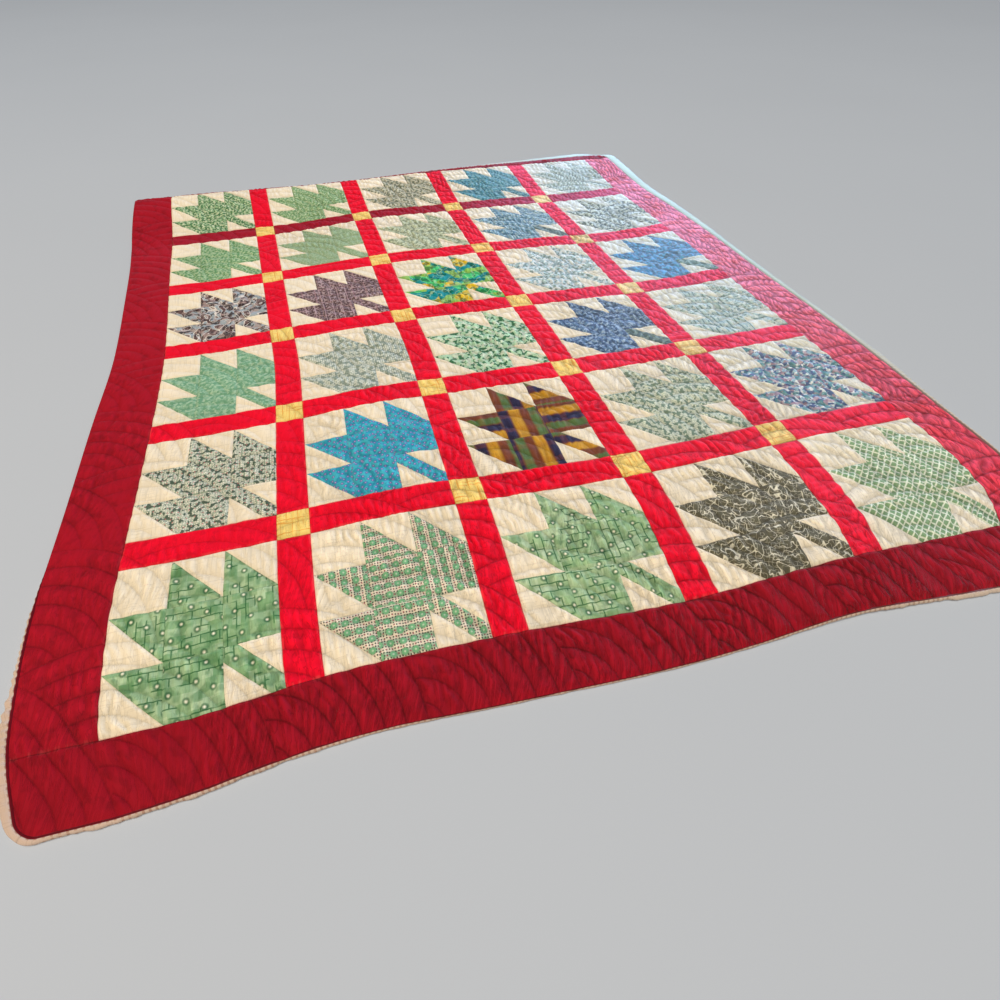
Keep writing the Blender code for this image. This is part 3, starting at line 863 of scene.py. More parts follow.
def end_border_grid(side, panel, left, right):
    """The near or far border, whose columns carry on those of the panel and the side borders."""
    row = -1 if side == "near" else 0
    across = np.concatenate((left[row, :-1, 0], panel[row, :-1, 0], right[row, :, 0]))
    _sides, rim = outline()
    beyond = rim[rim[:, 1] < -HALF_LENGTH] if side == "near" else rim[rim[:, 1] > HALF_LENGTH]
    beyond = beyond[np.lexsort((np.abs(beyond[:, 1]), beyond[:, 0]))]
    edge = np.interp(across, beyond[:, 0], beyond[:, 1])
    for end in (0, -1):
        at_end = beyond[np.abs(beyond[:, 0] - across[end]) < NEARLY, 1]
        edge[end] = at_end[np.argmax(np.abs(at_end))]
    seam = HALF_LENGTH * (-1 if side == "near" else 1)
    steps = round(max(BORDER_WIDTHS[side]) / cell_size())
    share = np.linspace(0, 1, steps + 1)
    share = share if side == "near" else 1 - share
    along = seam + share[:, None] * (edge - seam)[None, :]
    return grid_from(across[None, :], along)


def grid_triangles(rows, columns):
    """Two triangles a cell, split from its far left corner to its near right one."""
    index = np.arange(rows * columns).reshape(rows, columns)
    far_left, far_right = index[:-1, :-1], index[:-1, 1:]
    near_left, near_right = index[1:, :-1], index[1:, 1:]
    lower = np.stack((far_left, near_left, near_right), axis=-1)
    upper = np.stack((far_left, near_right, far_right), axis=-1)
    return np.stack((lower, upper), axis=2).reshape(-1, 3)


def edge_clearance(places):
    """How far each place is inside the border's outer edge, near enough."""
    x, y = places.T
    in_x = np.where(x < 0, -border_edge("left", y), border_edge("right", y)) - np.abs(x)
    in_y = np.where(y < 0, -border_edge("near", x), border_edge("far", x)) - np.abs(y)
    clear = np.minimum(in_x, in_y)
    for name, radius in CORNER_RADIUS.items():
        far, right = corner_signs(name)
        here = (in_x < radius) & (in_y < radius) & (x * right > 0) & (y * far > 0)
        clear = np.where(here, radius - np.hypot(radius - in_x, radius - in_y), clear)
    return np.maximum(clear, 0)


class Cloth:
    """A grid of the laid cloth: where its points were cut, where they lie, and its triangles."""

    def __init__(self, grid, underside=False):
        rows, columns = grid.shape[:2]
        self.flat = grid.reshape(-1, 2)
        self.triangles = grid_triangles(rows, columns)
        if underside:
            self.triangles = self.triangles[:, ::-1]
            self.laid, self.fine = lie(self.flat, 0.0), np.zeros(len(self.flat))
        else:
            height, self.fine = relief_at(self.flat, edge_clearance(self.flat))
            self.laid = lie(self.flat, height)
        self.laid += np.array(SHIFT)
        self.corners = self.flat[self.triangles]
        self.middles = self.corners.mean(axis=1)

    def sewing(self, chosen):
        """The sewing map: radius in line gaps and way round the arc, for each triangle's corners."""
        corners = self.corners[chosen]
        middles = corners.mean(axis=1)
        owner = fan_of(middles + sway(middles), cell_size())
        places = corners.reshape(-1, 2)
        phase, way = along_lines(places + sway(places), np.repeat(owner, 3))
        return np.column_stack((phase, way))

    def seams(self, chosen):
        """The seam map: how far each corner is from a seam, and from its block's outline."""
        # Each corner is drawn a little towards its triangle's middle, so it is on its own side.
        corners = self.corners[chosen]
        places = corners + CORNER_INWARDS * (corners.mean(axis=1, keepdims=True) - corners)
        places = places.reshape(-1, 2)
        return np.column_stack((seam_clearance(places), frame_clearance(places)))

    def folds(self, chosen):
        """The fold map: each corner's height over the mean, in millimetres, and how puckered it is."""
        index = self.triangles[chosen].ravel()
        return np.column_stack((MILLI * self.fine[index], strength_at(self.flat)[index]))


def turned(places, turns):
    """Places turned by quarter turns."""
    angle = np.pi / 2 * turns
    cos, sin = np.cos(angle), np.sin(angle)
    x, y = places[..., 0], places[..., 1]
    return np.stack((x * cos - y * sin, x * sin + y * cos), axis=-1)


def cut_map(corners, middles, turns, seed):
    """Where on its own length of cloth each corner was cut, patch by patch."""
    spread = np.random.default_rng(seed).random((CUT_PLACES, 2))
    key = (np.round(middles * TENTHS) @ CUT_KEY).astype(int) % CUT_PLACES
    places = turned(corners - middles[:, None, :], turns[:, None])
    return (places + spread[key][:, None, :]).reshape(-1, 2)


def add_mesh(name, points, faces, maps, material, nodes):
    """Adds a smooth mesh with its maps and material, on the quilt's body."""
    mesh = bpy.data.meshes.new(name)
    mesh.from_pydata(points.tolist(), [], faces)
    mesh.shade_smooth()
    for map_name, places in maps.items():
        layer = mesh.uv_layers.new(name=map_name)
        layer.data.foreach_set("uv", places.astype(np.float32).ravel())
    mesh.materials.append(material)
    piece = bpy.data.objects.new(name, mesh)
    bpy.context.scene.collection.objects.link(piece)
    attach(piece, BODY)
    if nodes:
        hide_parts(*nodes)
    return piece


def add_piece(name, cloth, chosen, cut, material, nodes):
    """A piece of cloth from the chosen triangles, with its cut, sewing and seam maps."""
    used, index = np.unique(cloth.triangles[chosen], return_inverse=True)
    maps = {CUT_MAP: cut, SEWING_MAP: cloth.sewing(chosen), SEAM_MAP: cloth.seams(chosen)}
    maps[FOLD_MAP] = cloth.folds(chosen)
    faces = index.reshape(-1, 3).tolist()
    return add_mesh(name, cloth.laid[used], faces, maps, material, nodes)


def node(tree, kind, inputs=(), out=0, **settings):
    """Adds a node with its settings, fills or links its inputs, and gives one of its outputs."""
    made = tree.nodes.new("ShaderNode" + kind)
    for name, value in settings.items():
        setattr(made, name, value)
    pairs = inputs.items() if isinstance(inputs, dict) else enumerate(inputs)
    for key, value in pairs:
        if isinstance(value, bpy.types.NodeSocket):
            tree.links.new(value, made.inputs[key])
        else:
            made.inputs[key].default_value = value
    return made.outputs[out]


# Settings that several nodes share.
SOFT = {"interpolation_type": "SMOOTHSTEP"}
TIMES = {"operation": "MULTIPLY"}
PLUS_TIMES = {"operation": "MULTIPLY_ADD"}
TO_AND_FRO = {"operation": "PINGPONG"}
FLAT_NOISE = {"noise_dimensions": "2D"}
# A mix of colours: input 0 is the share of the second colour, 6 and 7 are the two colours.
TINT = {"data_type": "RGBA", "out": 2}


def grain(at, size, **more):
    """The inputs of a pattern whose step is this many millimetres."""
    return {"Vector": at, "Scale": MILLI / size, **more}


def away_from(tree, value, level):
    """How far a value is from a level."""
    apart = node(tree, "Math", (value, level), operation="SUBTRACT")
    return node(tree, "Math", (apart,), operation="ABSOLUTE")


def blots(tree, at, size, share, soft=0.03, detail=1.0, bend=0.0):
    """Irregular blots of about this size, which cover this share."""
    value = node(tree, "TexNoise", grain(at, 2 * size, Detail=detail, Distortion=bend), **FLAT_NOISE)
    edge = BLOT_LEVEL - BLOT_FALL * share
    return node(tree, "MapRange", (value, edge - soft, edge + soft), **SOFT)


def outlines(tree, at, size, share, detail=1.0, bend=0.0):
    """Thin wandering lines that close into loops, as wide as a share of their size."""
    value = node(tree, "TexNoise", grain(at, 2 * size, Detail=detail, Distortion=bend), **FLAT_NOISE)
    edges = (share * edge for edge in LINE_EDGES)
    return node(tree, "MapRange", (away_from(tree, value, 0.5), *edges), **SOFT)


def dots(tree, at, size, share, jitter=0.0):
    """Dots on a lattice of this pitch, as wide as a share of it."""
    away = node(tree, "TexVoronoi", grain(at, size, Randomness=jitter), voronoi_dimensions="2D")
    return node(tree, "MapRange", (away, share / 2 + DOT_EDGES[0], share / 2 - DOT_EDGES[1]), **SOFT)


def stripes(tree, at, size, share, wave=0.0, wave_size=30.0):
    """Stripes of this pitch, straight or wavy."""
    across = node(tree, "Math", (node(tree, "SeparateXYZ", (at,)), MILLI / size), **TIMES)
    if wave:
        bent = node(tree, "TexNoise", grain(at, wave_size, Detail=1.0), **FLAT_NOISE)
        across = node(tree, "Math", (bent, wave / size, across), **PLUS_TIMES)
    away = node(tree, "Math", (across, 0.5), **TO_AND_FRO)
    return node(tree, "MapRange", (away, share / 2 + STRIPE_EDGE, share / 2 - STRIPE_EDGE), **SOFT)


def bricks(at, size, joint, row, smooth_joint):
    """The inputs of a brick lattice, its rows as high as a share of a brick's length."""
    joint = {"Mortar Size": joint * row / 4, "Mortar Smooth": smooth_joint}
    return grain(at, size, **joint, **{"Brick Width": 1.0, "Row Height": row})


def blocks(tree, at, size, share, row=0.5, tone=1.0):
    """A brick lattice: its bricks, from clear to full where tone is 0, and its joints left out."""
    inputs = bricks(at, size, 1 - share, row, 0.3)
    inputs |= {"Color1": (1, 1, 1, 1), "Color2": (tone, tone, tone, 1), "Mortar": (0, 0, 0, 1)}
    return node(tree, "TexBrick", inputs)


def hooks(tree, at, size, share, row=0.5):
    """Short bent lines: the joints of a brick lattice, broken off here and there."""
    joints = node(tree, "TexBrick", bricks(at, size, share, row, 0.4), out=1)
    broken = node(tree, "TexNoise", grain(at, HOOK_PATCH * size, Detail=0.0), **FLAT_NOISE)
    kept = node(tree, "MapRange", (broken, *KEPT_HOOKS), **SOFT)
    return node(tree, "Math", (joints, kept), **TIMES)


MOTIFS = {motif.__name__: motif for motif in (blots, outlines, dots, stripes, blocks, hooks)}


def basket(pale, deep, worn):
    """A basket lattice's layers: pale and deep tiles, worn patches, broken lines and ringed dots."""
    return (
        ("blocks", pale, 19, 1.0, 0.8, {"row": 0.6, "tone": 0.0}),
        ("blocks", deep, 12, 1.0, 0.35, {"row": 0.9, "turn": 90.0, "tone": 0.0, "seed": 0.4}),
        ("blots", "#3F7C4A", 9, 0.20, worn, {"seed": 3.0, "soft": 0.08}),
        ("hooks", "#2E6A3C", 25, 0.36, 0.80),
        ("dots", "#2E6440", 25, 0.38, 0.70, {"turn": 30.0}),
        ("dots", "#FAFADC", 25, 0.13, 1.0, {"turn": 30.0}),
    )


# The printed cottons of the leaves, block by block from the far left. Each has its name, its ground
# colour and its layers: motif, colour, size in millimetres, share covered, strength, and what else
# the motif takes.
# The smallest sprigs are drawn about half as large again as real ones, so that they show.
PRINTS = {
    (1, 1): ("leafy green calico", "#97BC8B", (
        ("blots", "#D6E2BC", 3.4, 0.36, 0.9),
        ("blots", "#3E7447", 3.4, 0.34, 0.9, {"seed": 3.0}),
    )),
    (1, 2): ("small green floral calico", "#96B886", (
        ("blots", "#C8DAB0", 3, 0.34, 0.8),
        ("blots", "#5C8E5C", 3, 0.34, 0.8, {"seed": 3.0}),
    )),
    (1, 3): ("grey-green calico with fine lines", "#BAB89C", (
        ("stripes", "#DCD9C0", 9, 0.34, 0.75, {"wave": 1.5}),
        ("blots", "#66725C", 4, 0.30, 0.85),
    )),
    (1, 4): ("teal blue calico, fine print", "#4E98A8", (
        ("blots", "#20708A", 4, 0.40, 0.85),
        ("blots", "#9CC8CC", 4, 0.26, 0.55, {"seed": 2.0}),
    )),
    (1, 5): ("washed mint cotton with slanted ripples", "#CCDAD2", (
        ("stripes", "#5E8078", 10, 0.28, 0.8, {"wave": 9.0, "turn": 35.0}),
        ("blots", "#82A09A", 3.4, 0.36, 0.8),
    )),
    (2, 1): ("mid-green floral calico", "#9ABA90", (
        ("blots", "#BAD4A2", 3.4, 0.34, 0.8),
        ("blots", "#4E8C56", 3.4, 0.34, 0.8, {"seed": 3.0}),
    )),
    (2, 2): ("plain green cotton, tiny print", "#98B38A", (
        ("blots", "#B0C6A0", 3, 0.34, 0.8),
        ("dots", "#5E9268", 5, 0.35, 0.6, {"jitter": 0.9}),
    )),
    (2, 3): ("pale sage calico with a dotted lattice", "#C2CCA8", (
        ("dots", "#E8EBCE", 7, 0.46, 0.95, {"turn": 45.0}),
        ("blots", "#76886A", 5, 0.28, 0.7),
    )),
    (2, 4): ("grey-blue striped denim", "#88B4C4", (
        ("stripes", "#CCDCDE", 8, 0.36, 0.85, {"wave": 1.4}),
        ("stripes", "#567E88", 15, 0.22, 0.8, {"wave": 1.4, "seed": 0.3}),
        ("blots", "#3E7490", 5, 0.30, 0.85),
    )),
    (2, 5): ("pale cotton with scattered dark teal leaves", "#D6E6E0", (
        ("blots", "#36585A", 5, 0.38, 0.95, {"soft": 0.02}),
        ("blots", "#94A8A0", 5, 0.30, 0.6, {"seed": 5.0}),
    )),
    (3, 1): ("brown and slate paisley cotton", "#6C5654", (
        ("blots", "#A2B0B6", 17, 0.45, 1.0, {"soft": 0.01, "detail": 0.0, "bend": 1.4}),
        ("blots", "#B39C94", 9, 0.24, 0.7, {"seed": 7.0, "detail": 0.0}),
        ("blots", "#33282A", 7, 0.24, 0.9, {"seed": 4.0}),
        ("outlines", "#EDE7DC", 17, 0.20, 1.0, {"detail": 0.0, "bend": 1.4}),
        ("outlines", "#D9CEC6", 8, 0.16, 0.6, {"detail": 0.0, "seed": 6.0, "bend": 1.0}),
    )),
    (3, 2): ("dark purple-brown woven plaid", "#5E4A4A", (
        ("blots", "#BCA8A8", 3, 0.38, 0.85),
        ("stripes", "#44343A", 24, 0.40, 0.45),
        ("stripes", "#D2B4BA", 21, 0.07, 0.8, {"seed": 0.006}),
        ("stripes", "#B98A94", 5, 0.20, 0.3, {"seed": 0.002}),
        ("stripes", "#C79AA2", 31, 0.05, 0.6, {"turn": 90.0, "seed": 0.009}),
    )),
    (3, 3): ("bright green, teal and yellow painted cotton", "#4CD078", (
        ("blots", "#0C96A0", 38, 0.56, 0.95, {"soft": 0.02, "detail": 0.0}),
        ("blots", "#A4D04C", 22, 0.27, 0.8, {"seed": 6.0, "soft": 0.02}),
        ("blots", "#F2CC2C", 46, 0.02, 1.0, {"seed": 4.0, "soft": 0.01, "detail": 0.0}),
        ("blots", "#0E5E3C", 9, 0.22, 0.7, {"seed": 8.0}),
        ("outlines", "#BFE6B0", 12, 0.16, 0.55, {"seed": 2.0}),
    )),
    (3, 4): ("pale teal washed cotton", "#BCDADE", (
        ("blots", "#7A948E", 3.4, 0.38, 0.85),
        ("blots", "#F0F6F2", 6, 0.32, 0.8, {"seed": 5.0}),
    )),
    (3, 5): ("bright blue cotton with a lilac check", "#0098E0", (
        ("blots", "#4CC2F0", 5, 0.26, 0.6, {"seed": 3.0}),
        ("stripes", "#6494C8", 17, 0.16, 0.6, {"wave": 1.0}),
        ("stripes", "#7496C6", 17, 0.14, 0.6, {"turn": 90.0, "wave": 1.0}),
        ("blots", "#0C5C92", 6, 0.38, 0.85),
    )),
    (4, 1): ("green cotton, tiny print", "#8EBA98", (
        ("blots", "#AED0AE", 4, 0.32, 0.8),
        ("blots", "#68A07C", 4, 0.30, 0.8, {"seed": 3.0}),
    )),
    (4, 2): ("grey-green calico with white dashes", "#9CAE9C", (
        ("blocks", "#E8ECDE", 8, 0.42, 0.85, {"row": 0.55}),
        ("blots", "#708678", 5, 0.30, 0.7),
    )),
    (4, 3): ("mint calico with dark sprigs", "#B8E0BA", (
        ("blots", "#34744E", 5, 0.38, 0.95, {"soft": 0.02}),
        ("blots", "#E4EFD6", 6, 0.22, 0.7, {"seed": 5.0}),
    )),
    (4, 4): ("slate blue calico, fine print", "#6488B0", (
        ("blots", "#A6C0DA", 4, 0.34, 0.85),
        ("blots", "#2C4C78", 5, 0.32, 0.9, {"seed": 4.0}),
    )),
    (4, 5): ("pale teal cotton with wavy stripes", "#B4D0CE", (
        ("stripes", "#557E82", 10, 0.30, 0.85, {"wave": 6.0}),
        ("blots", "#E2ECE4", 6, 0.28, 0.7),
    )),
    (5, 1): ("grey-green calico with rows of dots", "#C2CCB8", (
        ("stripes", "#7A947C", 8.5, 0.30, 0.7, {"turn": 90.0, "wave": 2.2, "wave_size": 12.0}),
        ("dots", "#F6F2E2", 4.2, 0.50, 0.95, {"jitter": 0.5}),
        ("blots", "#3C5446", 4, 0.18, 0.9, {"seed": 5.0}),
        ("dots", "#D08886", 11, 0.20, 0.9, {"seed": 0.0045, "jitter": 0.6}),
    )),
    (5, 2): ("turquoise cotton with small purple flowers", "#46BCD0", (
        ("blots", "#1C8AAE", 6, 0.34, 0.6),
        ("dots", "#6666B2", 9.5, 0.56, 0.8, {"jitter": 0.5, "turn": 40.0}),
        ("dots", "#CDB4DC", 9.5, 0.22, 0.9, {"jitter": 0.5, "turn": 40.0}),
    )),
    (5, 3): ("brown, gold and navy woven madras", "#7C4630", (
        ("stripes", "#CE9A2E", 74, 0.26, 1.0),
        ("stripes", "#33304F", 74, 0.24, 1.0, {"seed": 0.021}),
        ("stripes", "#5E7A46", 74, 0.22, 1.0, {"seed": 0.040}),
        ("stripes", "#A8552E", 37, 0.30, 0.18, {"turn": 90.0, "seed": 0.010}),
        ("stripes", "#2C2A40", 60, 0.20, 0.15, {"turn": 90.0, "seed": 0.034}),
    )),
    (5, 4): ("sage cotton with small white dashes", "#B0C0AA", (
        ("blocks", "#E2E8D2", 7, 0.42, 0.8, {"row": 0.6}),
        ("blots", "#5E7E68", 4, 0.28, 0.85),
    )),
    (5, 5): ("mottled blue and lilac floral cotton", "#98C0D4", (
        ("blots", "#EEF4F4", 4.5, 0.38, 0.95, {"soft": 0.02}),
        ("blots", "#2E4E8A", 4.5, 0.38, 0.95, {"seed": 9.0, "soft": 0.02}),
        ("blots", "#4E98A0", 7, 0.22, 0.8, {"seed": 14.0}),
        ("blots", "#B98C9A", 6, 0.12, 0.7, {"seed": 4.0}),
    )),
    (6, 1): ("green basket-lattice calico", "#8CB884", basket("#CCE6BC", "#4E8A56", 0.45)),
    (6, 2): ("cream calico with rows of green flowers", "#F0E6CE", (
        ("stripes", "#98BC9A", 16, 0.50, 0.75, {"turn": 90.0}),
        ("dots", "#2C3C34", 4, 0.56, 0.95, {"jitter": 0.3}),
        ("dots", "#B85A66", 8, 0.24, 0.9, {"jitter": 0.2}),
        ("dots", "#2F5A42", 16, 0.72, 0.4, {"jitter": 0.12}),
        ("dots", "#78BA88", 16, 0.56, 1.0, {"jitter": 0.12}),
        ("dots", "#CFE2C6", 16, 0.16, 0.8, {"jitter": 0.12}),
    )),
    (6, 3): ("green basket-lattice calico, second cut", "#A8CC98", basket("#D6EAC4", "#5C9662", 0.36)),
    (6, 4): ("dark olive cotton with pale scribbled lines", "#5E5A46", (
        ("blots", "#66634C", 9, 0.38, 0.8),
        ("hooks", "#DAD6BC", 12, 0.15, 1.0, {"row": 0.55, "turn": 24.0}),
        ("outlines", "#E4E0C8", 9, 0.14, 1.0, {"bend": 0.25, "seed": 2.0}),
        ("outlines", "#C6C2A8", 5, 0.13, 0.8, {"seed": 5.0, "detail": 0.0}),
    )),
    (6, 5): ("green calico with a pale diamond lattice", "#80A676", (
        ("blots", "#8EAE84", 5, 0.34, 0.6),
        ("stripes", "#EAF4DC", 9, 0.26, 1.0, {"turn": 45.0}),
        ("stripes", "#EAF4DC", 9, 0.26, 0.95, {"turn": 135.0}),
    )),
}

# Stems cut from another cloth than their leaf.
STEMS = {
    (2, 4): ("dark teal calico, fine print", "#4E6C6E", (("blots", "#86A2A0", 5, 0.3, 0.8),)),
    (3, 5): ("dark teal calico, fine print", "#3E7478", (("blots", "#8CB2B0", 5, 0.3, 0.8),)),
    (4, 4): ("dark teal calico, fine print", "#4F6C74", (("blots", "#8AA6A6", 5, 0.3, 0.8),)),
}


def printed(ground, layers):
    """The colour of a printed cotton: its ground with each motif laid over it in turn."""

    def colour_of(tree, at):
        colour = node(tree, "RGB")
        colour.default_value = linear(ground)
        for motif, tint, size, share, strength, *rest in layers:
            options = dict(*rest)
            turn = math.radians(options.pop("turn", 0.0))
            seed = options.pop("seed", 0.0)
            here = node(tree, "Mapping", (at, (seed, SEED_RISE * seed, 0.0), (0.0, 0.0, turn)))
            mask = MOTIFS[motif](tree, here, size, share, **options)
            mask = node(tree, "Math", (mask, strength), **TIMES)
            colour = node(tree, "Mix", {0: mask, 6: colour, 7: linear(tint)}, **TINT)
        return colour

    return colour_of


def dyed(colour, second, size, share):
    """The colour of a plain dyed cotton, with faint uneven dye or slubs in a second tone."""

    def colour_of(tree, at):
        value = node(tree, "TexNoise", grain(at, size, Detail=2.0), **FLAT_NOISE)
        edge = BLOT_LEVEL - DYE_FALL * share
        mask = node(tree, "MapRange", (value, edge, edge + DYE_SOFT), **SOFT)
        return node(tree, "Mix", {0: mask, 6: (*colour, 1.0), 7: (*second, 1.0)}, **TINT)

    return colour_of


def thread_noise(tree, at, size, stretch, detail):
    """Long soft streaks along the cloth and across it, as two values."""
    streaks = []
    for long_one in ((1.0, stretch, 1.0), (stretch, 1.0, 1.0)):
        here = node(tree, "Mapping", {"Vector": at, "Scale": long_one})
        streaks.append(node(tree, "TexNoise", grain(here, size, Detail=detail), **FLAT_NOISE))
    return streaks


def slubbed(colour, dark, size=SLUBS[0], strength=SLUBS[1]):
    """Unbleached or loosely spun cotton: uneven threads show as a faint lattice."""

    def colour_of(tree, at):
        threads = thread_noise(tree, at, size, SLUB_STRETCH, 1.0)
        both = node(tree, "Math", threads, operation="MAXIMUM")
        mask = node(tree, "MapRange", (both, *SLUB_RANGE, 0.0, strength), **SOFT)
        return node(tree, "Mix", {0: mask, 6: (*colour, 1.0), 7: (*dark, 1.0)}, **TINT)

    return colour_of


def stitched_edge(colour):
    """Cream cotton brought round the edge, with the small tan stitches that hold it down."""
    plain = slubbed(colour, part_of(colour, SECOND_TONE))

    def colour_of(tree, at):
        run, over = (node(tree, "SeparateXYZ", (at,), out=axis) for axis in (0, 1))
        steps = node(tree, "Math", (run, 1 / EDGE_STITCH), **TIMES)
        dash = node(tree, "Math", (steps, 0.5), **TO_AND_FRO)
        dash = node(tree, "MapRange", (dash, *EDGE_DASH), **SOFT)
        row = away_from(tree, over, EDGE_STITCH_AT)
        row = node(tree, "MapRange", (row, *EDGE_DASH_ROW), **SOFT)
        mask = node(tree, "Math", (dash, row), **TIMES)
        return node(tree, "Mix", {0: mask, 6: plain(tree, at), 7: linear(EDGE_THREAD)}, **TINT)

    return colour_of


def stitch_masks(tree, phase, way):
    """Masks of the quilting: the crease of a stitched line, and its single stitches."""
    drawn = node(tree, "Math", (phase, 0.5), operation="GREATER_THAN")
    away = node(tree, "Math", (phase, 0.5), **TO_AND_FRO)
    half = CREASE_HALF / LINE_GAP
    crease = node(tree, "MapRange", (away, half, CREASE_CORE * half), **SOFT)
    gaps = {"W": way, "Scale": CREASE_GAP_SCALE, "Detail": 1.0}
    gaps = node(tree, "TexNoise", gaps, noise_dimensions="1D")
    gaps = node(tree, "MapRange", (gaps, *CREASE_GAPS))
    steps = node(tree, "Math", (way, 1 / bpy.context.scene.quilt_sizes.stitch), **TIMES)
    stitch = node(tree, "Math", (steps, 0.5), **TO_AND_FRO)
    stitch = node(tree, "MapRange", (stitch, *STITCH_LENGTH), **SOFT)
    dip = node(tree, "MapRange", (away, *STITCH_WIDTH), **SOFT)
    crease = node(tree, "Math", (crease, gaps), **TIMES)
    dip = node(tree, "Math", (dip, stitch), **TIMES)
    return [node(tree, "Math", (mask, drawn), **TIMES) for mask in (crease, dip)]


def crinkles(tree, phase, way):
    """Small creases of washed cotton, which run from one stitched line to the next."""
    row = node(tree, "Math", (phase,), operation="FLOOR")
    along = node(tree, "Math", (row, CRINKLE_STEPS[0], way), **PLUS_TIMES)
    across = node(tree, "Math", (row, CRINKLE_STEPS[1], phase), **PLUS_TIMES)
    across = node(tree, "Math", (across, CRINKLE_STRETCH), **TIMES)
    places = node(tree, "CombineXYZ", (across, along))
    return node(tree, "TexNoise", grain(places, CRINKLE_SIZE, Detail=2.0, Roughness=0.55), **FLAT_NOISE)


def map_parts(tree, name):
    """The two values of a map."""
    places = node(tree, "UVMap", uv_map=name)
    return [node(tree, "SeparateXYZ", (places,), out=axis) for axis in (0, 1)]


def paint_window_sheen(tree, body, colour, most, tint):
    """The colour under a pale veil painted for the window's light and sheen, most on the right and over the
    far part of that side.
    """
    right, up = (node(tree, "SeparateXYZ", (body,), out=axis) for axis in (0, 1))
    beside = node(tree, "MapRange", (right, *PAINTED_SHEEN_ACROSS, 0.0, most), **SOFT)
    beyond = node(tree, "MapRange", (up, *PAINTED_SHEEN_ALONG), **SOFT)
    sheen_share = node(tree, "Math", (beside, beyond), **TIMES)
    return node(tree, "Mix", {0: sheen_share, 6: colour, 7: linear(tint)}, **TINT)


